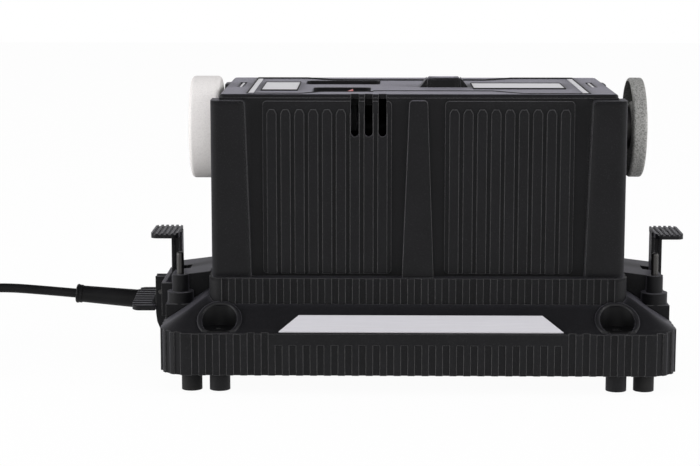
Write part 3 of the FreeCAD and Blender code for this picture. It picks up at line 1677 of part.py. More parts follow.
def switch_body():
    """The rocker's frame: a bezel on the well's floor and a box below it."""
    x, y = across(d.switch_length, -d.well_centre_x), across(d.switch_width, -d.rocker_y)
    wall = d.switch_wall
    bezel_top = WELL_FLOOR + d.switch_bezel
    bezel = block(x, y, (WELL_FLOOR, bezel_top))
    box = block(grown(x, -wall), grown(y, -wall), (WELL_FLOOR - d.switch_depth, bezel_top))
    room_low = PIVOT_Z - d.rocker_drop - ROCKER_HEEL * math.sin(ROCKER_TILT) - d.rocker_gap
    room = block(grown(x, -2 * wall), grown(y, -2 * wall), (room_low, bezel_top + 1))
    axle = rod("y", (-d.well_centre_x, PIVOT_Z), grown(y, -wall), d.rocker_axle + 2 * d.running_fit)
    return cut(fuse(bezel, box), room, axle)


def rocker():
    """The rocker with its right end up, on an axle across the switch."""
    half, heel = ROCKER_HALF, ROCKER_HEEL
    low, high, dip = -d.rocker_drop, d.rocker_rise, d.rocker_rise - d.rocker_dip
    flat = ((-heel, low), (heel, low), (half, 0), (half, high), (0, dip), (-half, high), (-half, 0))
    corners = []
    for x, z in flat:
        along = x * math.cos(ROCKER_TILT) - z * math.sin(ROCKER_TILT)
        up = x * math.sin(ROCKER_TILT) + z * math.cos(ROCKER_TILT)
        corners.append((along - d.well_centre_x, up + PIVOT_Z))
    y = across(d.switch_width, -d.rocker_y)
    key = prism("y", corners, grown(y, -2 * d.switch_wall - d.rocker_gap))
    axle = rod("y", (-d.well_centre_x, PIVOT_Z), grown(y, -d.switch_wall - d.rocker_gap), d.rocker_axle)
    return fuse(key, axle)


LOCK_Y = across(d.lock_width)
FLANGE_TOP = COVER_UNDER - d.lock_gap
FLANGE_LOW = FLANGE_TOP - d.lock_flange
BRACKET_LOW = COVER_UNDER - d.lock_bracket_drop
BRACKET_FLOOR = BRACKET_LOW + d.lock_bracket_floor


def lock_button():
    """The push button: a key in the cover's opening, a flange below it and a pin over the spindle."""

    def top_edge(edge):
        return edge.BoundBox.ZMin > float(LOCK_TOP) - 0.01

    key = rounded(block(LOCK_X, LOCK_Y, (FLANGE_LOW, LOCK_TOP)), d.lock_edge, top_edge)
    flange = block(grown(LOCK_X, d.lock_lip), grown(LOCK_Y, d.lock_lip), (FLANGE_LOW, FLANGE_TOP))
    tip = SPINDLE_Z + d.spindle_middle / 2 + d.lock_pin_end
    return fuse(key, flange, rod("z", (d.lock_centre, 0), (tip, FLANGE_TOP), d.lock_pin))


def lock_bracket():
    """The bent bracket under the cover that guides the lock pin."""
    wall = d.lock_bracket_wall
    x = grown(LOCK_X, d.lock_lip)
    inner = d.lock_width / 2 + d.lock_lip + d.lock_bracket_room
    outer = inner + wall
    side = block(x, (inner, outer), (BRACKET_LOW, COVER_UNDER))
    foot = block(x, (inner, outer + d.lock_bracket_foot), (COVER_UNDER - wall, COVER_UNDER))
    bottom = block(x, across(2 * outer), (BRACKET_LOW, BRACKET_FLOOR))
    pin_hole = rod("z", (d.lock_centre, 0), (BRACKET_LOW - 1, BRACKET_FLOOR + 1), d.lock_hole)
    bolt_hole = rod("z", LOCK_BOLT, (BRACKET_FLOOR, ABOVE), d.lock_bolt + d.screw_fit)
    return cut(fuse(bottom, both(fuse(side, foot), "y")), pin_hole, both(bolt_hole, "y"))


def lock_bolt():
    under = COVER_UNDER - d.lock_bracket_wall
    head = rod("z", LOCK_BOLT, (under - d.lock_bolt_head_height, under), d.lock_bolt_head)
    return fuse(head, rod("z", LOCK_BOLT, (under - 1, PANEL_Z - 2 * d.seat_gap), d.lock_bolt))


def control_parts():
    node("switch_body", switch_body())
    node("switch_rocker", rocker())
    node("lock_button", lock_button())
    node("lock_bracket", lock_bracket())
    spring_span = (BRACKET_FLOOR, FLANGE_LOW - d.seat_gap)
    bore = d.lock_spring - 2 * d.lock_spring_wire
    node("lock_spring", tube("z", (d.lock_centre, 0), spring_span, d.lock_spring, bore))


# Docks, latch levers and the thumb lever

DOCK_IN = d.plinth_length / 2 + d.dock_gap
DOCK_OUT = BASE_X + d.dock_overhang
DOCK_WALL_IN = DOCK_OUT - d.dock_wall
TROUGH_IN = DOCK_WALL_IN - d.dock_trough
DOCK_Y = (-d.dock_front, d.dock_back)
DOCK_LOW = SKIRT_TOP - d.dock_lip
DOCK_SIDE = SKIRT_TOP + d.dock_side_height
DOCK_TOP = SKIRT_TOP + d.dock_top_rise
LATCH_X = BASE_X - d.latch_inset
LATCH_Z = SKIRT_TOP + d.latch_pivot_lift
STEM_X = across(d.latch_thick, LATCH_X)
STEM_Y = across(d.latch_depth, -d.latch_y)
SLOT_IN = STEM_X[0] - d.latch_swing
SPIGOT = (BASE_X - d.spigot_inset, -d.spigot_y)
COLLAR_Z = SKIRT_TOP + d.collar_lift
SPIGOT_Z = COLLAR_Z + d.collar_height
SPIGOT_TOP = SPIGOT_Z + d.spigot_height


def dock(envelope):
    """A dock on the base's right slope: latch box, front block and tool-guide spigot."""
    box = prism(
        "y",
        (
            (DOCK_IN, DOCK_LOW),
            (DOCK_OUT, DOCK_LOW),
            (DOCK_OUT, DOCK_SIDE),
            (TROUGH_IN, DOCK_SIDE),
            (TROUGH_IN, DOCK_TOP - d.dock_top_fall),
            (DOCK_IN, DOCK_TOP),
        ),
        DOCK_Y,
    )
    foot_out = BASE_X - d.spigot_foot_inset
    foot_x = (foot_out - d.spigot_foot_length, foot_out)
    foot = block(foot_x, (-d.spigot_foot_front, -d.dock_front), (DOCK_LOW, COLLAR_Z))
    solid = fuse(
        box,
        foot,
        rod("z", SPIGOT, (DOCK_LOW, SPIGOT_Z), d.collar_diameter),
        rod("z", SPIGOT, (DOCK_LOW, SPIGOT_TOP), d.spigot_diameter),
    )
    trough_y = grown(DOCK_Y, -d.dock_wall)
    pin_y = across(d.latch_pin_length, -d.latch_y)
    tools = (
        envelope,
        block((TROUGH_IN, DOCK_WALL_IN), trough_y, (DOCK_SIDE - d.dock_trough_depth, ABOVE)),
        block((SLOT_IN, DOCK_WALL_IN), grown(STEM_Y, d.latch_play), (DOCK_LOW, ABOVE)),
        rod("y", (LATCH_X, LATCH_Z), pin_y, d.latch_pin + d.screw_fit),
        rod("z", SPIGOT, (SPIGOT_TOP - d.guide_pin_depth, ABOVE), d.guide_pin_shank + d.screw_fit),
    )
    for tool in tools:
        solid = cut(solid, tool)
    return solid


def guide_pin():
    """The steel pin of the right spigot: a thicker shank in its bore and a rounded top."""
    top = SPIGOT_TOP + d.guide_pin_rise
    shank = rod("z", SPIGOT, (SPIGOT_TOP - d.guide_pin_depth, SPIGOT_TOP), d.guide_pin_shank)
    blank = fuse(shank, rod("z", SPIGOT, (SPIGOT_TOP - d.guide_pin_depth, top), d.guide_pin))

    def top_edge(edge):
        return edge.CenterOfMass.z > float(top) - 0.01

    return rounded(blank, d.guide_pin_tip, top_edge)


def latch_lever():
    """The right latch lever: a hinged stem with a ribbed thumb pad on top."""
    pad_z = LATCH_Z + d.pad_height
    pad_top = pad_z - d.pad_rib_rise
    pad_out = BASE_X + d.pad_outset
    pad_x = (pad_out - d.pad_length, pad_out)
    pad_y = across(d.pad_width, -d.latch_y)
    count = int(d.pad_ribs)
    step = (d.pad_length - d.pad_rib) / (count - 1)
    starts = [pad_x[0] + step * i for i in range(count)]
    rib_z = (pad_top - d.pad_rib_rise, pad_z)
    ribs = [block((start, start + d.pad_rib), pad_y, rib_z) for start in starts]
    pad_low = pad_top - d.pad_thick
    pad = fuse(block(pad_x, pad_y, (pad_low, pad_top)), *ribs)
    outline = rounded(block(pad_x, pad_y, (pad_low, pad_z)), d.pad_corner, lambda edge: runs_along(edge, "z"))
    solid = fuse(
        rod("y", (LATCH_X, LATCH_Z), STEM_Y, d.latch_round),
        block(STEM_X, STEM_Y, (LATCH_Z, pad_top)),
        common(pad, outline),
    )
    groove_x, groove_z = across(d.stem_groove, LATCH_X), (LATCH_Z + d.stem_groove_lift, pad_low)
    groove = block(groove_x, (STEM_Y[0] - 1, STEM_Y[0] + d.stem_groove_depth), groove_z)
    bore = rod("y", (LATCH_X, LATCH_Z), grown(STEM_Y, 1), d.latch_pin + 2 * d.running_fit)
    return cut(solid, groove, bore)


def latch_spring():
    """The short spring between the right lever and its slot's inner wall."""
    at = (-d.latch_y, LATCH_Z + d.latch_spring_lift)
    span = (SLOT_IN, STEM_X[0] - d.seat_gap)
    return tube("x", at, span, d.latch_spring, d.latch_spring_bore)


THUMB_Y = -d.latch_y
EAR_IN_Y = across(d.ear_gap, THUMB_Y)
EAR_OUT_Y = grown(EAR_IN_Y, d.ear_thick)
THUMB_AT = (-DOCK_OUT - d.thumb_pivot_out, d.thumb_pivot_z)


def ears():
    """Two lugs on the left dock's outer wall, with a curved lower end."""
    outer = DOCK_OUT + d.ear_reach
    wall = BASE_X + d.seat_gap
    sweep = [math.radians(angle) for angle in (0, 22.5, 45, 67.5, 90)]
    wide = outer - wall
    curve = [
        (-(wall + wide * math.cos(turn)), d.ear_low + d.ear_curve * (1 - math.sin(turn)))
        for turn in sweep
    ]
    top = [(-DOCK_OUT, d.ear_high), (-outer, d.ear_high)]
    outline = [*top, *curve, (-wall, DOCK_LOW), (-DOCK_OUT, DOCK_LOW)]
    spans = ((EAR_OUT_Y[0], EAR_IN_Y[0]), (EAR_IN_Y[1], EAR_OUT_Y[1]))
    return group(*(prism("y", outline, span) for span in spans))


def thumb_lever():
    """The left thumb lever: a web between the lugs and a ribbed tab that leans up towards the back."""
    hub = d.thumb_hub
    web_y = grown(EAR_IN_Y, -d.thumb_play)
    tab_in = -(DOCK_OUT + d.ear_reach + d.thumb_play)
    tab_x = (tab_in - d.thumb_tab_length, tab_in)
    low = d.thumb_tab_z - d.thumb_tab_thick
    web = prism(
        "y",
        (
            (THUMB_AT[0] - hub / 2, THUMB_AT[1]),
            (tab_in - d.thumb_tab_thick, d.thumb_tab_z + d.thumb_tab_thick),
            (tab_in - d.thumb_tab_thick, low),
            (THUMB_AT[0] - hub / 2 + d.thumb_tab_thick, low),
            (THUMB_AT[0] + hub / 2, THUMB_AT[1]),
        ),
        web_y,
    )
    slope = math.tan(math.radians(d.thumb_tab_tilt.value))
    front, back = -d.thumb_tab_front, d.thumb_tab_back
    rise = (back - front) * slope
    tab = prism(
        "x",
        ((front, low), (back, low + rise), (back, d.thumb_tab_z + rise), (front, d.thumb_tab_z)),
        tab_x,
    )
    count = int(d.thumb_ribs)
    step = (back - front - d.thumb_rib) / (count - 1)
    ribs = []
    for i in range(count):
        start = front + step * i
        base = d.thumb_tab_z + step * i * slope
        end = start + d.thumb_rib
        lift = d.thumb_rib * slope
        crest = d.thumb_rib_rise
        outline = (
            (start, base - crest),
            (end, base + lift - crest),
            (end, base + lift + crest),
            (start, base + crest),
        )
        ribs.append(prism("x", outline, tab_x))
    room = block(tab_x, (front, back), (low - 1, d.thumb_tab_z + rise + d.thumb_rib_rise + 1))

    def outer_corner(edge):
        return runs_along(edge, "z") and edge.CenterOfMass.x < float(tab_x[0]) + 0.1

    ribbed = common(fuse(tab, *ribs), rounded(room, d.thumb_tab_corner, outer_corner))
    pin_bore = rod("y", THUMB_AT, grown(web_y, 1), d.thumb_pin + 2 * d.running_fit)
    return cut(fuse(web, ribbed, rod("y", THUMB_AT, web_y, hub)), pin_bore)


def open_end():
    """What the right dock lacks beside the left one: the trough and the wall outside the lever."""
    y = grown(DOCK_Y, 1)
    wall = block((STEM_X[1], DOCK_OUT + 1), y, (DOCK_LOW - 1, ABOVE))
    return fuse(wall, block((TROUGH_IN, DOCK_OUT + 1), y, (DOCK_SIDE - d.dock_trough_depth, ABOVE)))


def dock_parts(envelope):
    walled = dock(envelope)
    thumb_bore = rod("y", THUMB_AT, grown(EAR_OUT_Y, 1), d.thumb_pin + d.screw_fit)
    node("right_dock", cut(walled, open_end()))
    node("left_dock", cut(fuse(mirrored(walled, "x"), ears()), thumb_bore))
    pin = guide_pin()
    node("guide_pins", both(pin, "x"))
    lever = latch_lever()
    node("right_latch_lever", lever)
    node("left_latch_lever", mirrored(lever, "x"))
    pivot = rod("y", (LATCH_X, LATCH_Z), across(d.latch_pin_length, -d.latch_y), d.latch_pin)
    node("pivot_pins", group(both(pivot, "x"), rod("y", THUMB_AT, EAR_OUT_Y, d.thumb_pin)))
    spring = latch_spring()
    node("right_latch_spring", spring)
    node("left_latch_spring", mirrored(spring, "x"))
    node("left_thumb_lever", thumb_lever())


# Cord, coil and plug

RISE = math.radians(d.cord_rise.value)
CORD_OUT = FreeCAD.Vector(-math.cos(RISE), 0, math.sin(RISE))
SLEEVE_START = FreeCAD.Vector(-BASE_X.value, d.cord_y.value, d.cord_exit_z.value)
SLEEVE_END = SLEEVE_START + CORD_OUT * d.sleeve_length.value
CORD_RADIUS = d.cord_diameter.value / 2
COIL_LOW = FLOOR_Z.value + d.tie_thick.value + d.tie_gap.value + CORD_RADIUS
COIL_TOP = COIL_LOW + d.coil_step.value * (int(d.coil_layers) - 1)
COIL_RADIUS = d.coil_outer_radius.value
COIL_CENTRE = FreeCAD.Vector(
    SLEEVE_END.x - d.coil_back.value,
    SLEEVE_END.y + d.coil_forward.value - COIL_RADIUS,
    0,
)
COIL_START = COIL_CENTRE + FreeCAD.Vector(d.coil_lead.value, COIL_RADIUS, COIL_TOP)
PLUG_AT = COIL_CENTRE + FreeCAD.Vector(d.coil_tail.value, -COIL_RADIUS, COIL_LOW)


def along_axis(item, start, direction):
    """Stand a cylinder or cone on a point with its axis along a direction."""
    turn = FreeCAD.Rotation(FreeCAD.Vector(0, 0, 1), direction)
    item.Placement = FreeCAD.Placement(start, turn)
    return item


def tilted_cone(start, length, start_diameter, end_diameter):
    bar = DOC.addObject("Part::Cone", "Tilted")
    bind(bar, "Radius1", start_diameter / 2)
    bind(bar, "Radius2", end_diameter / 2)
    bind(bar, "Height", length)
    return along_axis(bar, start, CORD_OUT)


def cord_sleeve():
    """The bend sleeve on the base's left wall: wall flange, inner stub, long taper and tip collar."""
    at = (d.cord_y, d.cord_exit_z)
    flange = rod("x", at, (-BASE_X - d.sleeve_flange_thick, -BASE_X), d.sleeve_flange)
    stub = rod("x", at, (-BASE_X - 1, -BASE_X + d.sleeve_stub_length), d.sleeve_stub)
    taper_start = SLEEVE_START + CORD_OUT * 1.5
    taper = tilted_cone(taper_start, d.sleeve_length - 1.5, d.sleeve_root, d.sleeve_tip)
    collar_start = SLEEVE_END - CORD_OUT * d.sleeve_collar_length.value
    collar = tilted_cone(collar_start, d.sleeve_collar_length, d.sleeve_collar, d.sleeve_collar + 0.02)
    return fuse(flange, stub, taper, collar)


def swept(edges):
    """A round tube along a chain of edges."""
    wire = Part.Wire(edges)
    first = edges[0]
    start = first.valueAt(first.FirstParameter)
    heading = first.tangentAt(first.FirstParameter)
    ring = Part.Wire(Part.Circle(start, heading, CORD_RADIUS).toShape())
    solid = wire.makePipeShell([ring], True, False)
    expected = math.pi * CORD_RADIUS ** 2 * wire.Length
    print(f"tube length {wire.Length:.1f}, volume against section times length {solid.Volume / expected:.4f}")
    return solid


def cord_route():
    """The free stretch's points, from the sleeve's end to the coil."""
    points = [SLEEVE_END]
    points += [SLEEVE_END + FreeCAD.Vector(*step) for step in CORD_STEPS]
    points += [COIL_START + FreeCAD.Vector(16.0, 0, 0), COIL_START]
    return points


def filleted_path(points):
    """Straight runs joined by tangent arcs as large as the runs allow."""
    edges = []
    at = points[0]
    for before, corner, after in zip(points, points[1:], points[2:]):
        into, out = corner - before, after - corner
        half_turn = into.getAngle(out) / 2
        reach = 0.45 * min(into.Length, out.Length)
        radius = reach / math.tan(half_turn)
        start = corner - into.normalize() * reach
        end = corner + out.normalize() * reach
        bulge = (out - into).normalize()
        middle = corner + bulge * (radius / math.cos(half_turn) - radius)
        print(f"cord bend radius {radius:.1f}")
        edges.append(Part.LineSegment(at, start).toShape())
        edges.append(Part.Arc(start, middle, end).toShape())
        at = end
    edges.append(Part.LineSegment(at, points[-1]).toShape())
    return edges


def coil_point(turns):
    """The coil's centre line, counted in turns from its start on the top layer."""
    step, layers, whole = d.coil_step.value, int(d.coil_layers), int(d.coil_turns)
    inner = COIL_RADIUS - step * whole
    layer = min(int(turns / (whole + 0.5)), layers - 1)
    local = turns - layer * (whole + 0.5)
    inward = layer % 2 == 0
    height = COIL_TOP - step * layer
    if local <= whole:
        radius = COIL_RADIUS - step * local if inward else inner + step * local
    else:
        phase = 2 * math.pi * (local - whole)
        swell = step / (2 * math.pi) * phase * (1 - phase / math.pi)
        radius = inner - swell if inward else COIL_RADIUS + swell
        height -= step * (1 - math.cos(phase)) / 2
    angle = math.pi / 2 + 2 * math.pi * turns
    return COIL_CENTRE + FreeCAD.Vector(radius * math.cos(angle), radius * math.sin(angle), height)


def arc_between(start, corner, end):
    """The arc tangent to both legs of an even-sided corner."""
    chord = end - start
    middle = (start + end) / 2
    rise = corner - middle
    angle = (corner - start).getAngle(chord)
    top = middle + rise.normalize() * (chord.Length / 2 * math.tan(angle / 2))
    return Part.Arc(start, top, end).toShape()


def biarc(start, start_heading, end, end_heading):
    """Two tangent arcs between two points with given headings."""
    chord = end - start
    both_ways = start_heading + end_heading
    spread = 2 * (1 - start_heading.dot(end_heading))
    across_both = chord.dot(both_ways)
    root = math.sqrt(across_both ** 2 + spread * chord.dot(chord))
    reach = (root - across_both) / spread
    first = start + start_heading * reach
    second = end - end_heading * reach
    joint = (first + second) / 2
    return [arc_between(start, first, joint), arc_between(joint, second, end)]


def coil_edges():
    """The wound cord's centre line: a straight lead, quarter-turn biarcs and a straight tail."""
    total = int(d.coil_layers) * int(d.coil_turns) + (int(d.coil_layers) - 1) / 2
    quarters = int(total * 4)
    stops = [i / 4 for i in range(quarters + 1)]
    points = [coil_point(turns) for turns in stops]
    nudge = 1e-4
    headings = [(coil_point(turns + nudge) - coil_point(turns - nudge)).normalize() for turns in stops[1:-1]]
    headings = [FreeCAD.Vector(-1, 0, 0), *headings, FreeCAD.Vector(1, 0, 0)]
    edges = [Part.LineSegment(COIL_START, points[0]).toShape()]
    for i in range(quarters):
        edges += biarc(points[i], headings[i], points[i + 1], headings[i + 1])
    edges.append(Part.LineSegment(points[-1], PLUG_AT).toShape())
    return edges


def least_gap(edges):
    """The smallest clear space between the tube's separate passes."""
    samples = []
    length = 0.0
    for edge in edges:
        count = max(2, int(edge.Length / 2))
        for point in edge.discretize(count)[:-1]:
            samples.append((length + (point - edge.valueAt(edge.FirstParameter)).Length, point))
        length += edge.Length
    apart = [
        (first - second).Length
        for i, (at, first) in enumerate(samples)
        for further, second in samples[i + 1:]
        if further - at > 4 * d.cord_diameter.value
    ]
    return min(apart) - d.cord_diameter.value


def coil_tie():
    """A flat band round the coil's bundle on the side nearest the base."""
    step, gap, thick = d.coil_step.value, d.tie_gap.value, d.tie_thick.value
    spare = step / 8 + CORD_RADIUS + 2 * gap
    inner = COIL_RADIUS - step * int(d.coil_turns) - spare
    outer = COIL_RADIUS + spare
    low, high = COIL_LOW - CORD_RADIUS - gap, COIL_TOP + CORD_RADIUS + gap
    centre = COIL_CENTRE
    x = (centre.x + inner, centre.x + outer)
    y = across(d.tie_width, centre.y)
    ring = block(grown(x, thick), y, (low - thick, high + thick))
    return cut(ring, block(x, grown(y, 1), (low, high)))


def mains_plug():
    """A flat two-pin plug lying on the bench beyond the coil."""
    at = PLUG_AT
    nose = DOC.addObject("Part::Wedge", "Nose")
    thick = d.plug_neck_thick
    neck_low = FLOOR_Z - at.z + (d.plug_thick - thick) / 2
    bounds = {
        "Xmin": -d.plug_nose_width / 2,
        "Xmax": d.plug_nose_width / 2,
        "Zmin": -d.plug_nose_thick / 2,
        "Zmax": d.plug_nose_thick / 2,
        "Ymin": 0.0,
        "Ymax": d.plug_nose,
        "X2min": -d.plug_neck_width / 2,
        "X2max": d.plug_neck_width / 2,
        "Z2min": neck_low,
        "Z2max": neck_low + thick,
    }
    for prop, value in bounds.items():
        bind(nose, prop, value)
    nose.Placement = FreeCAD.Placement(at, FreeCAD.Rotation(FreeCAD.Vector(0, 0, 1), -90))
    half, corner = d.plug_width / 2, d.plug_corner
    low, high = FLOOR_Z, FLOOR_Z + d.plug_thick
    outline = (
        (at.y - half, low + corner),
        (at.y - half + corner, low),
        (at.y + half - corner, low),
        (at.y + half, low + corner),
        (at.y + half, high - corner),
        (at.y + half - corner, high),
        (at.y - half + corner, high),
        (at.y - half, high - corner),
    )
    start = at.x + d.plug_nose
    end = start + d.plug_body
    body = prism("x", outline, (start, end))
    middle = (low + high) / 2
    pins = [
        (at.y - d.plug_pin_spacing / 2, middle),
        (at.y + d.plug_pin_spacing / 2, middle),
    ]
    seat = (end - d.plug_pin_depth, end + 1)
    holes = [rod("x", pin, seat, d.plug_pin + d.screw_fit) for pin in pins]
    pin_span = (end - d.plug_pin_depth, end + d.plug_pin_length)
    return cut(fuse(nose, body), *holes), group(*(rod("x", pin, pin_span, d.plug_pin) for pin in pins))


def cord_parts():
    node("cord_sleeve", cord_sleeve())
    free = filleted_path(cord_route())
    node("power_cord", made(swept(free), "Cord"))
    wound = coil_edges()
    node("cord_coil", made(swept(wound), "Coil"))
    length = sum(edge.Length for edge in (*free, *wound))
    print(f"cord length {length:.0f}, least gap in the coil {least_gap(wound):.2f}")
    node("coil_tie", coil_tie())
    plug, pins = mains_plug()
    node("mains_plug", plug)
    node("plug_pins", pins)


def check_document():
    """Stop if any object failed or any sub-part has no valid solid."""
    DOC.recompute()
    broken = [item.Label for item in DOC.Objects if {"Invalid", "Error"} & set(item.State)]
    empty = [name for name, item in NODES.items() if item.Shape.isNull() or not item.Shape.Solids]
    faulty = [name for name, item in NODES.items() if name not in empty and not item.Shape.isValid()]
    if broken or empty or faulty:
        raise RuntimeError(f"broken objects {broken}, empty sub-parts {empty}, faulty shapes {faulty}")


def export_parts():
    os.makedirs("parts", exist_ok=True)
    for name, item in NODES.items():
        item.Shape.exportStep(f"parts/{name}.step")
        box = item.Shape.BoundBox
        sides = f"{box.XLength:.1f} x {box.YLength:.1f} x {box.ZLength:.1f}"
        print(f"{name}: {len(item.Shape.Solids)} solids, {sides}, volume {item.Shape.Volume:.0f}")


housing_parts()
spindle_parts()
motor_parts()
board_parts()
control_parts()
dock_parts(base_parts())
cord_parts()
check_document()
export_parts()
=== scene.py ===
"""Looks of a two-wheel bench sharpener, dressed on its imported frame."""

import json
import logging
import math
from collections.abc import Callable, Sequence
from dataclasses import dataclass, field
from enum import Enum, IntEnum

import bmesh
import bpy
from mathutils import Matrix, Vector


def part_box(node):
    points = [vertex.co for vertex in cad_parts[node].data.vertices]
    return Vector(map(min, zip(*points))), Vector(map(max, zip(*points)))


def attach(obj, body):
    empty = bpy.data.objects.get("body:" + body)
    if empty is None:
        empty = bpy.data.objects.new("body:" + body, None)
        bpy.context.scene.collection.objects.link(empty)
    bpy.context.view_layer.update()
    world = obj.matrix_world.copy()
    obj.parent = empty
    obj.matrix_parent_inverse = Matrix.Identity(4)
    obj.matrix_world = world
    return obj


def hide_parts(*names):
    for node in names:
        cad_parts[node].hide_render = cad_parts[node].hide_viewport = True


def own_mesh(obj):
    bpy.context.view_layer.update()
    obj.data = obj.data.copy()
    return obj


LOG = logging.getLogger("sharpener")
MM = 0.001

Colour = tuple[float, float, float, float]
Pair = tuple[float, float]
Outline = tuple[Pair, ...]
Piece = bpy.types.Object
Material = bpy.types.Material
Node = bpy.types.Node
NodeTree = bpy.types.NodeTree
Socket = bpy.types.NodeSocket

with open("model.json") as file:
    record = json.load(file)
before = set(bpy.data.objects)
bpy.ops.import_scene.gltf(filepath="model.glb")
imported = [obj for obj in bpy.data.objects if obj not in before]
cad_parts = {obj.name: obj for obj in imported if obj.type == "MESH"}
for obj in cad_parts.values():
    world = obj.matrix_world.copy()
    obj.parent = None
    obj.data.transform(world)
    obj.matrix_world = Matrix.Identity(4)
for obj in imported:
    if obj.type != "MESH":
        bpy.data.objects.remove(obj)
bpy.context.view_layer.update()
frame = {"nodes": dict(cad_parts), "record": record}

# The cord end of the bend sleeve, and the lead's first step out of it in millimetres.
SLEEVE_END = Vector((-177.295, 30.0, 27.606)) * MM
SLEEVE_STEP = (-18.6, 0.0, 1.63)


def linear(red: float, green: float, blue: float) -> Colour:
    """A screen colour as the shader reads it.

    Args:
        red: Red from 0 to 255.
        green: Green from 0 to 255.
        blue: Blue from 0 to 255.

    Returns:
        The linear colour with full alpha.
    """
    channels = []
    for value in (red, green, blue):
        share = value / 255
        dark = share <= 0.04045
        channels.append(share / 12.92 if dark else ((share + 0.055) / 1.055) ** 2.4)
    return (*channels, 1.0)


def grey(value: float) -> Colour:
    """A neutral colour of that linear value."""
    return (value, value, value, 1.0)


def shaded(colour: Colour, share: float) -> Colour:
    """That colour with its brightness multiplied by a share."""
    return (*(share * value for value in colour[:3]), 1.0)


class MixIn(IntEnum):
    """Inputs of the mix node, whose names repeat for each kind of data."""

    FACTOR = 0
    FLOAT_A = 2
    FLOAT_B = 3
    VECTOR_A = 4
    VECTOR_B = 5
    COLOUR_A = 6
    COLOUR_B = 7


class MixOut(IntEnum):
    """Outputs of the mix node."""

    FLOAT = 0
    VECTOR = 1
    COLOUR = 2


class Graph:
    """The nodes of a material or of the surround."""

    def __init__(self, tree: NodeTree) -> None:
        """Work on that tree."""
        self.tree = tree

    def feed(self, node: Node, inputs: dict) -> None:
        """Set or link a node's inputs.

        Args:
            node: The node.
            inputs: Its sockets by name or index, each with a value or another node's output.
        """
        for name, value in inputs.items():
            if isinstance(value, Socket):
                self.tree.links.new(value, node.inputs[name])
            else:
                node.inputs[name].default_value = value

    def add(self, kind: str, settings: dict | None = None, inputs: dict | None = None) -> Node:
        """Add a node.

        Args:
            kind: The node's type name.
            settings: Its properties by name.
            inputs: Its sockets by name or index, each with a value or another node's output.

        Returns:
            The new node.
        """
        node = self.tree.nodes.new(kind)
        for name, value in (settings or {}).items():
            setattr(node, name, value)
        self.feed(node, inputs or {})
        return node

    def ramp(self, source: Socket, stops: Pair, low: Colour, high: Colour) -> Socket:
        """A colour that follows a value.

        Args:
            source: The value, from 0 to 1.
            stops: Where the colour starts and ends its change.
            low: The colour up to the first stop.
            high: The colour from the second stop.

        Returns:
            The colour.
        """
        node = self.add("ShaderNodeValToRGB", inputs={"Fac": source})
        for element, stop, colour in zip(node.color_ramp.elements, stops, (low, high)):
            element.position = stop
            element.color = colour
        return node.outputs["Color"]

    def computed(self, operation: str, *values: float | Socket) -> Socket:
        """The result of a calculation with one or two values."""
        inputs = dict(enumerate(values))
        return self.add("ShaderNodeMath", {"operation": operation}, inputs).outputs[0]


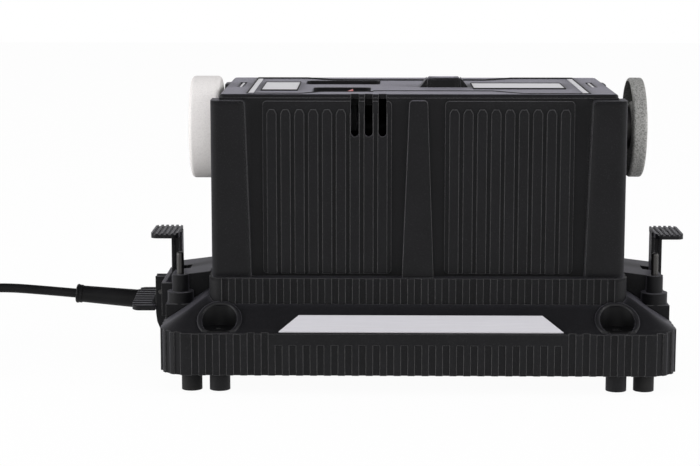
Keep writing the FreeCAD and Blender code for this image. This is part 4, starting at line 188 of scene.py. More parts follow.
class Recipe(Graph):
    """One material's nodes, joined to its principled shader."""

    BEVEL_SAMPLES = 4
    FLAT_LIKENESS = 0.995
    EDGE_LIKENESS = 0.8

    def __init__(self, name: str) -> None:
        """Start a material with its shader and object coordinates.

        Args:
            name: The material's name.
        """
        self.material = bpy.data.materials.new(name)
        self.material.use_nodes = True
        super().__init__(self.material.node_tree)
        self.shader = self.tree.nodes["Principled BSDF"]
        self.place = self.add("ShaderNodeTexCoord").outputs["Object"]

    def stretched(self, stretch: Sequence[float]) -> Socket:
        """Object coordinates scaled by those factors along X, Y and Z."""
        mapping = self.add("ShaderNodeMapping", inputs={"Vector": self.place, "Scale": stretch})
        return mapping.outputs["Vector"]

    def noise(
        self, grain: float, detail: float = 2.0, stretch: Sequence[float] | None = None
    ) -> Socket:
        """Noise over the surface.

        Args:
            grain: The size of its features in metres.
            detail: How many finer layers it has.
            stretch: Factors along the axes for a drawn-out grain.

        Returns:
            The noise's value.
        """
        at = self.stretched(stretch) if stretch else self.place
        inputs = {"Vector": at, "Scale": 1 / grain, "Detail": detail}
        return self.add("ShaderNodeTexNoise", inputs=inputs).outputs["Fac"]

    def cells(self, grain: float, output: str) -> Socket:
        """Cells over the surface.

        Args:
            grain: The size of a cell in metres.
            output: Which of the node's outputs to give.

        Returns:
            That output.
        """
        inputs = {"Vector": self.place, "Scale": 1 / grain}
        return self.add("ShaderNodeTexVoronoi", inputs=inputs).outputs[output]

    def spread(self, source: Socket, low: float, high: float) -> Socket:
        """A value from 0 to 1 mapped onto low to high."""
        inputs = {"Value": source, "To Min": low, "To Max": high}
        return self.add("ShaderNodeMapRange", inputs=inputs).outputs["Result"]

    def mixed(self, factor: Socket, first: Colour | Socket, second: Colour | Socket) -> Socket:
        """The first colour turning into the second by a factor."""
        inputs = {MixIn.FACTOR: factor, MixIn.COLOUR_A: first, MixIn.COLOUR_B: second}
        return self.add("ShaderNodeMix", {"data_type": "RGBA"}, inputs).outputs[MixOut.COLOUR]

    def softened(self, radius: float) -> Socket:
        """The normal with corners rounded over that radius in metres."""
        settings = {"samples": self.BEVEL_SAMPLES}
        return self.add("ShaderNodeBevel", settings, {"Radius": radius}).outputs["Normal"]

    def softened_past(self, base: Socket, broad: "BroadRounding") -> Socket:
        """A softened normal that turns into a broader one past a place.

        Args:
            base: The normal before that place.
            broad: Where the broader rounding starts, and its radius.

        Returns:
            The normal.
        """
        split = self.add("ShaderNodeSeparateXYZ", inputs={0: self.place}).outputs[broad.axis]
        past = self.computed("GREATER_THAN", self.computed("ABSOLUTE", split), broad.past)
        rounder = self.softened(broad.radius)
        inputs = {MixIn.FACTOR: past, MixIn.VECTOR_A: base, MixIn.VECTOR_B: rounder}
        return self.add("ShaderNodeMix", {"data_type": "VECTOR"}, inputs).outputs[MixOut.VECTOR]

    def edge_mask(self, radius: float) -> Socket:
        """A mask of the edges.

        Args:
            radius: How far it reaches from an edge, in metres.

        Returns:
            A value that is 1 along the edges and 0 away from them.
        """
        flat = self.add("ShaderNodeNewGeometry").outputs["Normal"]
        normals = {0: self.softened(radius), 1: flat}
        dot = self.add("ShaderNodeVectorMath", {"operation": "DOT_PRODUCT"}, normals)
        likeness = {"From Min": self.FLAT_LIKENESS, "From Max": self.EDGE_LIKENESS}
        inputs = {"Value": dot.outputs["Value"], **likeness}
        return self.add("ShaderNodeMapRange", inputs=inputs).outputs["Result"]

    def bumped(self, height: Socket, depth: float, normal: Socket | None = None) -> Socket:
        """A normal bent by a height.

        Args:
            height: The height, from 0 to 1.
            depth: The height's full size in metres.
            normal: A normal that is bent already.

        Returns:
            The bent normal.
        """
        inputs = {"Height": height, "Distance": depth}
        if normal:
            inputs["Normal"] = normal
        return self.add("ShaderNodeBump", inputs=inputs).outputs["Normal"]

    def finish(self, **sockets: float | Colour | Socket) -> Material:
        """Set or link the shader's sockets.

        Args:
            sockets: Values or other nodes' outputs by the socket's name with underscores.

        Returns:
            The finished material.
        """
        inputs = {name.replace("_", " "): value for name, value in sockets.items()}
        self.feed(self.shader, inputs)
        return self.material


HAZE = linear(240, 237, 255)


@dataclass(frozen=True)
class BroadRounding:
    """Corners that are rounded broadly past a distance from the middle along an axis."""

    axis: str
    past: float
    radius: float


@dataclass(frozen=True)
class MouldedPlastic:
    """Plastic from an etched mould: fine grain, soft edges that catch the light, and edges
    painted lighter, partly as wear and partly as painted highlight.
    """

    name: str
    colour: Colour
    # The colour along the edges: partly wear, partly painted highlight.
    edge_wear_and_highlight: Colour
    roughness: float = 0.55
    grain: float = 0.55 * MM
    depth: float = 0.05 * MM
    edge: float = 0.35 * MM
    soft: float = 0.9 * MM
    shine: float = 0.17
    haze: float = 0.15
    speck: Colour = linear(72, 72, 74)
    broad: BroadRounding | None = None
    cloud: float = 18 * MM
    darkest: float = 0.78
    lightest: float = 1.25
    mottled_at: Pair = (0.3, 0.7)
    specked_at: Pair = (0.55, 0.78)
    specked: Pair = (0.0, 0.35)
    patchy: Pair = (0.35, 1.25)
    duller: float = 0.14
    glossier: float = 0.12
    haze_spread: float = 0.35

    def make(self) -> Material:
        """Mix a mottled colour, grain in the gloss and edges painted lighter, partly as wear and
        partly as painted highlight.

        Returns:
            The material.
        """
        recipe = Recipe(self.name)
        grain = recipe.noise(self.grain, detail=3.0)
        cloud = recipe.noise(self.cloud, detail=4.0)
        darkest, lightest = shaded(self.colour, self.darkest), shaded(self.colour, self.lightest)
        body = recipe.ramp(cloud, self.mottled_at, darkest, lightest)
        speck = recipe.ramp(grain, self.specked_at, self.colour, self.speck)
        mottled = recipe.mixed(recipe.spread(grain, *self.specked), body, speck)
        patches = recipe.spread(grain, *self.patchy)
        # A lighter colour along the edges, speckled by the grain: partly wear, partly painted
        # highlight.
        edge_wear_and_highlight_mask = recipe.computed("MULTIPLY", recipe.edge_mask(self.edge), patches)
        normal = recipe.softened(self.soft)
        if self.broad:
            normal = recipe.softened_past(normal, self.broad)
        glossiest, dullest = self.roughness - self.glossier, self.roughness + self.duller
        return recipe.finish(
            Base_Color=recipe.mixed(edge_wear_and_highlight_mask, mottled, self.edge_wear_and_highlight),
            Roughness=recipe.spread(grain, glossiest, dullest),
            Specular_IOR_Level=self.shine,
            Sheen_Weight=self.haze,
            Sheen_Roughness=self.haze_spread,
            Sheen_Tint=HAZE,
            Normal=recipe.bumped(grain, self.depth, normal),
        )


@dataclass(frozen=True)
class MachinedMetal:
    """Bare metal with the fine lines of drawing, turning or brushing."""

    name: str
    colour: Colour
    roughness: float = 0.3
    lines: tuple[float, float, float] = (1.0, 12.0, 12.0)
    grain: float = 2.0 * MM
    depth: float = 0.006 * MM
    edge: float = 0.25 * MM
    darkest: float = 0.8
    lined_at: Pair = (0.3, 0.7)
    duller: float = 0.12
    glossier: float = 0.08

    def make(self) -> Material:
        """Draw fine lines out in the colour and the gloss.

        Returns:
            The material.
        """
        recipe = Recipe(self.name)
        lines = recipe.noise(self.grain, detail=5.0, stretch=self.lines)
        darkest = shaded(self.colour, self.darkest)
        glossiest, dullest = self.roughness - self.glossier, self.roughness + self.duller
        return recipe.finish(
            Base_Color=recipe.ramp(lines, self.lined_at, darkest, self.colour),
            Metallic=1.0,
            Roughness=recipe.spread(lines, glossiest, dullest),
            Normal=recipe.bumped(lines, self.depth, recipe.softened(self.edge)),
        )


@dataclass(frozen=True)
class BondedGrit:
    """Abrasive grains in their bond, as on a wheel or a plated rim."""

    name: str
    dark: Colour
    light: Colour
    grain: float
    depth: float
    sparkle: float = 0.0
    cloud: float = 9 * MM
    toned_at: Pair = (0.05, 0.6)
    glints_at: Pair = (0.86, 0.93)
    stained: Pair = (0.0, 0.5)
    clouded: Pair = (0.25, 0.6)
    roughness: float = 0.9
    polish: float = 0.6
    shine: float = 0.35

    def make(self) -> Material:
        """Give each grain a tone, with pits between them and flecks that glint.

        Returns:
            The material.
        """
        recipe = Recipe(self.name)
        colours = recipe.cells(self.grain, "Color")
        tone = recipe.add("ShaderNodeSeparateColor", inputs={0: colours}).outputs[0]
        pits = recipe.cells(self.grain, "Distance")
        cloud = recipe.noise(self.cloud, detail=4.0)
        stain = recipe.mixed(recipe.spread(cloud, *self.stained), self.light, self.dark)
        grains = recipe.ramp(tone, self.toned_at, self.dark, self.light)
        glossiest = self.roughness - self.polish * self.sparkle
        return recipe.finish(
            Base_Color=recipe.mixed(recipe.spread(cloud, *self.clouded), grains, stain),
            Metallic=recipe.ramp(tone, self.glints_at, grey(0.0), grey(self.sparkle)),
            Roughness=recipe.spread(tone, self.roughness, glossiest),
            Specular_IOR_Level=self.shine,
            Normal=recipe.bumped(pits, self.depth),
        )


@dataclass(frozen=True)
class SoftRubber:
    """Rubber or soft vinyl: even and dull, with a trace of dust."""

    name: str
    colour: Colour
    dust: Colour
    roughness: float = 0.6
    sheen: float = 0.08
    grain: float = 0.35 * MM
    depth: float = 0.02 * MM
    cloud: float = 14 * MM
    dusty_at: Pair = (0.42, 0.85)
    edge: float = 0.4 * MM
    shine: float = 0.14
    duller: float = 0.12
    glossier: float = 0.1

    def make(self) -> Material:
        """Lay dust in patches over a fine skin.

        Returns:
            The material.
        """
        recipe = Recipe(self.name)
        skin = recipe.noise(self.grain)
        patch = recipe.noise(self.cloud, detail=5.0)
        glossiest, dullest = self.roughness - self.glossier, self.roughness + self.duller
        return recipe.finish(
            Base_Color=recipe.ramp(patch, self.dusty_at, self.colour, self.dust),
            Roughness=recipe.spread(skin, glossiest, dullest),
            Specular_IOR_Level=self.shine,
            Sheen_Weight=self.sheen,
            Normal=recipe.bumped(skin, self.depth, recipe.softened(self.edge)),
        )


@dataclass(frozen=True)
class SatinFilm:
    """Bare metallised film on a plate."""

    name: str
    colour: Colour
    shade: Colour
    grain: float = 1.2 * MM
    lines: tuple[float, float, float] = (0.06, 6.0, 6.0)
    brushed_at: Pair = (0.25, 0.75)
    depth: float = 0.004 * MM
    metallic: float = 0.25
    glossiest: float = 0.36
    dullest: float = 0.5

    def make(self) -> Material:
        """Brush the film faintly, with a soft sheen.

        Returns:
            The material.
        """
        recipe = Recipe(self.name)
        brushing = recipe.noise(self.grain, detail=4.0, stretch=self.lines)
        return recipe.finish(
            Base_Color=recipe.ramp(brushing, self.brushed_at, self.shade, self.colour),
            Metallic=self.metallic,
            Roughness=recipe.spread(brushing, self.glossiest, self.dullest),
            Normal=recipe.bumped(brushing, self.depth),
        )


@dataclass(frozen=True)
class LayeredCore:
    """A stack across X: sheet-steel laminations, copper bars or wound wire."""

    name: str
    light: Colour
    dark: Colour
    pitch: float
    roughness: float = 0.4
    duller: float = 0.15
    depth: float = 0.05 * MM
    banded_at: Pair = (0.15, 0.6)
    waver: float = 0.4

    def make(self) -> Material:
        """Lay bands of that pitch along X.

        Returns:
            The material.
        """
        recipe = Recipe(self.name)
        at = recipe.stretched((1, 0, 0))
        waves = {"Vector": at, "Scale": 0.5 / self.pitch, "Distortion": self.waver}
        bands = recipe.add("ShaderNodeTexWave", inputs=waves).outputs["Fac"]
        return recipe.finish(
            Base_Color=recipe.ramp(bands, self.banded_at, self.dark, self.light),
            Metallic=1.0,
            Roughness=recipe.spread(bands, self.roughness + self.duller, self.roughness),
            Normal=recipe.bumped(bands, self.depth),
        )


CHARCOAL = linear(13, 13, 15)
# The edge colour of the plastics: partly wear, partly painted highlight along the edges.
EDGE_WEAR_AND_HIGHLIGHT = linear(108, 108, 108)

FINISHES = {
    finish.name: finish
    for finish in (
        MouldedPlastic("charcoal_plastic", CHARCOAL, EDGE_WEAR_AND_HIGHLIGHT),
        MouldedPlastic(
            "housing_plastic", CHARCOAL, EDGE_WEAR_AND_HIGHLIGHT, broad=BroadRounding("X", 80 * MM, 5.0 * MM)
        ),
        MouldedPlastic(
            "plinth_plastic",
            CHARCOAL,
            EDGE_WEAR_AND_HIGHLIGHT,
            shine=0.16,
            haze=0.03,
            broad=BroadRounding("X", 90 * MM, 5.0 * MM),
        ),
        MouldedPlastic(
            "base_plastic", CHARCOAL, EDGE_WEAR_AND_HIGHLIGHT, broad=BroadRounding("Z", 29.5 * MM, 6.0 * MM)
        ),
        MouldedPlastic(
            "cover_plastic",
            CHARCOAL,
            EDGE_WEAR_AND_HIGHLIGHT,
            haze=0.25,
            broad=BroadRounding("Z", 140 * MM, 2.5 * MM),
        ),
        MouldedPlastic(
            "button_plastic",
            CHARCOAL,
            CHARCOAL,
            haze=0.35,
            broad=BroadRounding("Z", 139 * MM, 7.0 * MM),
        ),
        MouldedPlastic("rim_plastic", CHARCOAL, CHARCOAL, 0.45, shine=0.3, haze=0.2),
        MouldedPlastic(
            "black_plastic", linear(14, 14, 16), linear(80, 80, 85), 0.46, 0.4 * MM, 0.03 * MM
        ),
        MouldedPlastic("inner_plastic", linear(52, 53, 56), linear(96, 97, 100), 0.5),
        MouldedPlastic(
            "red_plastic", linear(186, 48, 42), linear(218, 110, 100), 0.38, 0.5 * MM, 0.01 * MM
        ),
        SatinFilm("silver_plate", linear(226, 225, 229), linear(214, 213, 217)),
        MachinedMetal("steel", linear(176, 178, 182), 0.32),
        MachinedMetal("bright_steel", linear(200, 201, 204), 0.24),
        MachinedMetal("blackened_steel", linear(74, 73, 72), 0.38),
        # Dark steel whose colour paints the shade on the spindle inside the housing.
        MachinedMetal("spindle_shade_steel", linear(30, 30, 31), 0.55),
        BondedGrit(
            "corundum", linear(209, 206, 204), linear(224, 221, 219), 0.4 * MM, 0.05 * MM
        ),
        BondedGrit(
            "diamond_grit", linear(62, 62, 61), linear(158, 158, 155), 0.45 * MM, 0.1 * MM, 0.8
        ),
        SoftRubber("rubber", linear(26, 26, 27), linear(44, 43, 42), 0.7),
        SoftRubber("cord_rubber", linear(13, 13, 14), linear(22, 22, 23), 0.5, 0.0),
        MachinedMetal("painted_can", linear(120, 122, 126), 0.42),
        SoftRubber("ferrite", linear(52, 51, 52), linear(70, 69, 68), 0.75, 0.0),
        LayeredCore("lamination", linear(150, 150, 152), linear(60, 60, 62), 0.5 * MM),
        LayeredCore("copper", linear(196, 112, 66), linear(120, 58, 30), 0.8 * MM, 0.32),
        MachinedMetal("bronze", linear(186, 142, 84), 0.4),
        SoftRubber("carbon", linear(38, 38, 40), linear(58, 58, 60), 0.5, 0.0),
        MouldedPlastic(
            "board", linear(28, 92, 52), linear(120, 150, 110), 0.4, 1.4 * MM, 0.01 * MM
        ),
        MachinedMetal("plug_brass", linear(206, 178, 110), 0.24),
    )
}

OWN_FINISH = {
    "housing": "housing_plastic",
    "plinth": "plinth_plastic",
    "base_shell": "base_plastic",
    "top_cover": "cover_plastic",
    "lock_button": "button_plastic",
    "guide_pins": "blackened_steel",
    "pivot_pins": "blackened_steel",
    # The hub's dark steel paints the shade and dark reflections on a bright steel hub.
    "cup_hub": "blackened_steel",
    # The spindle's darkness is painted shade from inside the housing.
    "spindle": "spindle_shade_steel",
}


class Palette:
    """Every finish as a material, made once."""

    def __init__(self) -> None:
        """Make each finish of the table."""
        self.materials = {name: finish.make() for name, finish in FINISHES.items()}

    def __getitem__(self, finish: str) -> Material:
        """The material of a finish."""
        return self.materials[finish]

    def dress(self, piece: Piece, slot: str, finish: str | None = None) -> None:
        """Give a new piece its finish.

        Args:
            piece: The piece.
            slot: The piece's slot in the record.
            finish: The finish, where it isn't the slot's own.
        """
        piece.data.materials.clear()
        piece.data.materials.append(self[finish or slot])

    def dress_nodes(self) -> None:
        """Give each CAD node the finish that the record names, or the node's own."""
        for part in frame["record"]["subparts"]:
            node = frame["nodes"][part["node"]]
            if not node.material_slots:
                node.data.materials.append(None)
            finish = OWN_FINISH.get(part["node"], part["material_slot"])
            for slot in node.material_slots:
                slot.material = self[finish]


class Workbench:
    """Modelling steps that the new pieces share."""

    MERGED = 0.002 * MM
    SMOOTHED = math.radians(35)
    STANDING = (math.pi / 2, 0, 0)

    @staticmethod
    def clear() -> None:
        """Deselect every object."""
        bpy.ops.object.select_all(action="DESELECT")

    @staticmethod
    def hold(piece: Piece) -> None:
        """Select one piece alone and make it the active one.

        Args:
            piece: The piece.
        """
        Workbench.clear()
        piece.select_set(True)
        bpy.context.view_layer.objects.active = piece

    @staticmethod
    def fix() -> None:
        """Apply the active piece's place, turn and scale."""
        bpy.ops.object.transform_apply(location=True, rotation=True, scale=True)

    @staticmethod
    def edit() -> None:
        """Start to edit the active piece, with all of it selected."""
        bpy.ops.object.mode_set(mode="EDIT")
        bpy.ops.mesh.select_all(action="SELECT")

    @staticmethod
    def leave() -> None:
        """Stop editing."""
        bpy.ops.object.mode_set(mode="OBJECT")

    @staticmethod
    def tube(name: str, radius: float, sides: int) -> Piece:
        """Start a curve with a round section.

        Args:
            name: The piece's name.
            radius: The section's radius in metres.
            sides: How finely the section is divided.

        Returns:
            The curve, which has no splines yet.
        """
        curve = bpy.data.curves.new(name, "CURVE")
        curve.dimensions = "3D"
        curve.bevel_depth = radius
        curve.bevel_resolution = sides
        piece = bpy.data.objects.new(name, curve)
        bpy.context.collection.objects.link(piece)
        return piece

    @staticmethod
    def spline(tube: Piece, kind: str, places: Sequence[Sequence[float]]) -> bpy.types.Spline:
        """Lay a curve through places.

        Args:
            tube: The curve.
            kind: The kind of spline.
            places: The places in metres.

        Returns:
            The new spline.
        """
        spline = tube.data.splines.new(kind)
        spline.points.add(len(places) - 1)
        for point, place in zip(spline.points, places):
            point.co = (*place, 1.0)
        return spline

    @staticmethod
    def take(name: str) -> Piece:
        """The object that was just added, under that name."""
        bpy.context.object.name = bpy.context.object.data.name = name
        return bpy.context.object

    @staticmethod
    def pick(piece: Piece, test: Callable[[Vector], bool]) -> None:
        """Select, in edit mode, what lies wholly on points that pass a test.

        Args:
            piece: The piece being edited.
            test: Says whether a vertex at a place is picked.
        """
        mesh = bmesh.from_edit_mesh(piece.data)
        for vertex in mesh.verts:
            vertex.select_set(False)
        for vertex in mesh.verts:
            vertex.select_set(test(vertex.co))
        mesh.select_flush(True)
        bmesh.update_edit_mesh(piece.data)

    @staticmethod
    def settle(piece: Piece) -> None:
        """Apply a piece's place and turn, merge its doubled vertices and point its faces
        outwards.

        Args:
            piece: The piece.
        """
        Workbench.hold(piece)
        Workbench.fix()
        Workbench.edit()
        bpy.ops.mesh.remove_doubles(threshold=Workbench.MERGED)
        bpy.ops.mesh.normals_make_consistent(inside=False)
        Workbench.leave()
        bpy.ops.object.shade_smooth_by_angle(angle=Workbench.SMOOTHED)

    @staticmethod
    def cut(place: Sequence[float], away: Sequence[float]) -> None:
        """Cut the active piece with a plane and close it.

        Args:
            place: A place on the plane.
            away: The side that is cut off.
        """
        Workbench.edit()
        bpy.ops.mesh.bisect(plane_co=place, plane_no=away, clear_outer=True, use_fill=True)
        Workbench.leave()

    @staticmethod
    def joined(pieces: Sequence[Piece], name: str) -> Piece:
        """Join pieces into one.

        Args:
            pieces: The pieces.
            name: The joined piece's name.

        Returns:
            The joined piece.
        """
        Workbench.clear()
        for piece in pieces:
            piece.select_set(True)
        bpy.context.view_layer.objects.active = pieces[0]
        bpy.ops.object.join()
        return Workbench.take(name)


@dataclass
class PowerLead:
    """The mains lead: out of its sleeve, along the bench and into a tied coil."""

    diameter: float = 4.8 * MM
    sleeve_end: Vector = field(default_factory=SLEEVE_END.copy)
    steps: tuple[tuple[float, float, float], ...] = (
        SLEEVE_STEP,
        (-38.6, 0.3, 3.0),
        (-59.6, 1.0, 1.6),
        (-83.6, 2.2, -3.6),
    )
    coil_centre: Vector = field(default_factory=lambda: Vector((-300.695, 0.4, 0.0)) * MM)
    coil_radius: float = 33.1 * MM
    coil_step: float = 5.5 * MM
    coil_low: float = 2.0 * MM
    turns: int = 2
    layers: int = 4
    lead: float = 4.8 * MM
    run_in: float = 16.0 * MM
    tail: float = 22.0 * MM
    points_per_turn: int = 24
    length: float = 1.777
    sides: int = 5
    smoothness: int = 6

    def coil_point(self, turned: float) -> Vector:
        """The coil's centre line.

        Args:
            turned: Turns from its start on the top layer.

        Returns:
            The point.
        """
        inner = self.coil_radius - self.coil_step * self.turns
        per_layer = self.turns + 0.5
        layer = min(int(turned / per_layer), self.layers - 1)
        local = turned - layer * per_layer
        inward = layer % 2 == 0
        height = self.coil_low + self.coil_step * (self.layers - 1 - layer)
        if local <= self.turns:
            moved = self.coil_step * local
            radius = self.coil_radius - moved if inward else inner + moved
        else:
            phase = 2 * math.pi * (local - self.turns)
            swell = self.coil_step / (2 * math.pi) * phase * (1 - phase / math.pi)
            radius = inner - swell if inward else self.coil_radius + swell
            height -= self.coil_step * (1 - math.cos(phase)) / 2
        angle = math.pi / 2 + 2 * math.pi * turned
        away = Vector((radius * math.cos(angle), radius * math.sin(angle), height))
        return self.coil_centre + away

    def route(self) -> list[Vector]:
        """The control points from the sleeve to the plug.

        Returns:
            The points in order.
        """
        high = self.coil_low + self.coil_step * (self.layers - 1)
        start = self.coil_centre + Vector((self.lead, self.coil_radius, high))
        end = self.coil_centre + Vector((self.tail, -self.coil_radius, self.coil_low))
        points = [self.sleeve_end]
        points += [self.sleeve_end + Vector(step) * MM for step in self.steps]
        points += [start + Vector((self.run_in, 0, 0)), start]
        total = self.layers * self.turns + (self.layers - 1) / 2
        count = int(total * self.points_per_turn)
        points += [self.coil_point(total * i / count) for i in range(count + 1)]
        points.append(end)
        return points

    def build(self, palette: Palette) -> Piece:
        """Args:
            palette: The finishes.

        Returns:
            The lead.
        """
        piece = Workbench.tube("power_lead", self.diameter / 2, self.sides)
        piece.data.resolution_u = self.smoothness
        piece.data.use_fill_caps = True
        spline = Workbench.spline(piece, "NURBS", self.route())
        spline.order_u = 3
        spline.use_endpoint_u = True
        palette.dress(piece, "cord_rubber")
        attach(piece, "frame")
        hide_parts("power_cord", "cord_coil")
        return piece


class Line(Enum):
    """The way that a spring lies, as the turn that lays an upright one there."""

    UPRIGHT = (0.0, 0.0, 0.0)
    LEVEL = (0.0, math.pi / 2, 0.0)


@dataclass
class ReturnSpring:
    """A wound spring in place of a CAD spring node; its joint is named here, but nothing squeezes
    it.
    """

    node: str
    joint: str
    line: Line
    turns: int = 4
    wire: float = 0.4 * MM
    keep: float = 0.72
    fixed_end: int = 0
    sides: int = 10
    steps: int = 28

    def build(self, palette: Palette) -> Piece:
        """Wind the spring inside its node's box.

        Args:
            palette: The finishes.

        Returns:
            The spring.
        """
        low, high = (Vector(corner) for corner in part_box(self.node))
        way = 2 if self.line is Line.UPRIGHT else 0
        length = high[way] - low[way]
        radius = (high.y - low.y) / 2 - self.wire / 2
        Workbench.clear()
        bpy.ops.mesh.primitive_circle_add(
            vertices=self.sides, radius=self.wire / 2, rotation=Workbench.STANDING
        )
        spring = Workbench.take(self.node.replace("_spring", "_coil_spring"))
        Workbench.fix()
        Workbench.edit()
        bpy.ops.transform.translate(value=(radius, 0, (self.wire - length) / 2))
        Workbench.leave()
        winding = spring.modifiers.new("winding", "SCREW")
        winding.axis = "Z"
        winding.screw_offset = (length - self.wire) / self.turns
        winding.iterations = self.turns
        winding.steps = winding.render_steps = self.steps
        bpy.ops.object.modifier_apply(modifier=winding.name)
        Workbench.edit()
        bpy.ops.mesh.select_mode(type="EDGE")
        bpy.ops.mesh.select_all(action="DESELECT")
        bpy.ops.mesh.select_non_manifold(use_wire=False, use_multi_face=False, use_verts=False)
        bpy.ops.mesh.fill_holes(sides=self.sides)
        bpy.ops.mesh.select_mode(type="VERT")
        Workbench.leave()
        spring.rotation_euler = self.line.value
        spring.location = (low + high) / 2
        Workbench.settle(spring)
        palette.dress(spring, "bright_steel")
        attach(spring, "frame")
        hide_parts(self.node)
        axis = Vector((0, 0, 0))
        axis[way] = 1
        anchor = (low + high) / 2
        anchor[way] = (low, high)[self.fixed_end][way]
        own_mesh(spring)
        return spring


@dataclass
class ArmatureCoils:
    """The wire loops that stand out of both ends of the motor's armature."""

    axis_z: float = 79.0 * MM
    slots: int = 10
    loop: float = 5.6 * MM
    strands: int = 3
    wire: float = 0.85 * MM
    middle: float = 9.6 * MM
    bulge: float = 0.95
    spacing: float = 1.3
    proud: float = 0.05 * MM
    around: int = 20
    sides: int = 6

    def strand(self, face: float, way: int, size: float, depth: float) -> Piece:
        """One strand of a loop, cut off where it enters the core.

        Args:
            face: The core face's X.
            way: 1 where the loop stands out towards +X, or -1.
            size: The strand's own radius as a loop.
            depth: Its distance from the axis.

        Returns:
            The strand.
        """
        Workbench.clear()
        bpy.ops.mesh.primitive_torus_add(
            major_radius=size,
            minor_radius=self.wire / 2,
            major_segments=self.around,
            minor_segments=self.sides,
            location=(face, 0, self.axis_z + depth),
        )
        strand = Workbench.take("strand")
        strand.scale = (self.bulge, 1, 1)
        Workbench.fix()
        Workbench.cut((face + way * self.proud, 0, self.axis_z), (-way, 0, 0))
        return strand

    def build(self, palette: Palette) -> Piece:
        """Wind both ends.

        Args:
            palette: The finishes.

        Returns:
            The coils.
        """
        low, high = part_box("armature_core")
        strands = []
        for face, way in ((low[0], -1), (high[0], 1)):
            for row in range(self.strands):
                size = self.loop - row * self.wire
                depth = self.middle + row * self.spacing * self.wire
                first = self.strand(face, way, size, depth)
                strands.append(first)
                for slot in range(1, self.slots):
                    turned = first.copy()
                    turned.data = first.data.copy()
                    bpy.context.collection.objects.link(turned)
                    Workbench.hold(turned)
                    bpy.ops.transform.rotate(
                        value=2 * math.pi * slot / self.slots,
                        orient_axis="X",
                        center_override=(face, 0, self.axis_z),
                    )
                    strands.append(turned)
        coils = Workbench.joined(strands, "armature_coils")
        Workbench.settle(coils)
        palette.dress(coils, "copper")
        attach(coils, "rotor")
        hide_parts("armature_winding")
        return coils


@dataclass
class RibbedBelt:
    """The drive belt, ribbed on its inside, round the spindle's and the motor's pulleys."""

    spindle_z: float = 118.9 * MM
    motor_z: float = 79.0 * MM
    spindle_seat: float = 14.3 * MM
    motor_seat: float = 7.3 * MM
    thick: float = 2.0 * MM
    ribs: int = 5
    rib_depth: float = 0.7 * MM
    steps: int = 20
    seam: float = 0.01 * MM

    def build(self, palette: Palette) -> Piece:
        """Draw the ribbed section once and carry it round both pulleys.

        Args:
            palette: The finishes.

        Returns:
            The belt.
        """
        low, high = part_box("drive_belt")
        middle, width = (low[0] + high[0]) / 2, high[0] - low[0]
        span = self.spindle_z - self.motor_z
        lean = math.asin((self.spindle_seat - self.motor_seat) / span)
        out = Vector((0, math.cos(lean), -math.sin(lean)))
        other = Vector((0, -math.cos(lean), -math.sin(lean)))
        spindle = Vector((middle, 0, self.spindle_z))
        motor = Vector((middle, 0, self.motor_z))
        start = spindle + out * (self.spindle_seat + self.thick / 2)
        Workbench.clear()
        bpy.ops.mesh.primitive_grid_add(x_subdivisions=2 * self.ribs, y_subdivisions=1, size=1.0)
        belt = Workbench.take("ribbed_belt")
        belt.scale = (width, self.thick, 1)
        belt.rotation_euler = (-lean, 0, 0)
        belt.location = start
        Workbench.fix()
        Workbench.edit()

        def groove(at: Vector) -> bool:
            """Whether a vertex of the section lies at the bottom of a groove."""
            column = round((at.x - low[0]) / width * 2 * self.ribs)
            return column % 2 == 0 and (at - start).dot(out) < 0

        Workbench.pick(belt, groove)
        bpy.ops.transform.translate(value=out * self.rib_depth)
        bpy.ops.mesh.select_all(action="SELECT")
        turn = {"steps": self.steps, "axis": (-1, 0, 0)}
        bpy.ops.mesh.spin(angle=math.pi + 2 * lean, center=spindle, **turn)
        down = motor + other * self.motor_seat - (spindle + other * self.spindle_seat)
        bpy.ops.mesh.extrude_region_move(TRANSFORM_OT_translate={"value": down})
        bpy.ops.mesh.spin(angle=math.pi - 2 * lean, center=motor, **turn)
        up = spindle + out * self.spindle_seat - (motor + out * self.motor_seat)
        bpy.ops.mesh.extrude_region_move(TRANSFORM_OT_translate={"value": up})
        along = up.normalized()
        Workbench.pick(belt, lambda at: abs((at - start).dot(along)) < self.seam and at.y > 0)
        bpy.ops.mesh.delete(type="ONLY_FACE")
        bpy.ops.mesh.select_all(action="SELECT")
        bpy.ops.mesh.delete_loose()
        Workbench.leave()
        Workbench.settle(belt)
        palette.dress(belt, "rubber")
        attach(belt, "frame")
        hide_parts("drive_belt")
        return belt


@dataclass
class ScrewRecess:
    """Where the four screw recesses lie in the base's slopes."""

    x: float = 94.5 * MM
    y: float = 66.0 * MM
    front: float = 73.2 * MM
    above: float = 0.2

    def centres(self) -> list[Pair]:
        """The recesses' centres seen from above."""
        return [(x, y) for x in (-self.x, self.x) for y in (-self.y, self.y)]

    def height(self, at: Vector) -> float:
        """The base's surface under a place, kept off its front and rear edges.

        Args:
            at: The place seen from above.

        Returns:
            The surface's height in metres.
        """
        y = max(-self.front, min(self.front, at.y))
        base = frame["nodes"]["base_shell"]
        hit, found, _, _ = base.ray_cast(Vector((at.x, y, self.above)), Vector((0, 0, -1)))
        return found.z if hit else 0.0

    def trim(self, y: float) -> None:
        """Cut the active piece off where the slope ends, on the side of its recess's Y."""
        way = math.copysign(1, y)
        Workbench.cut((0, way * self.front, 0), (0, way, 0))


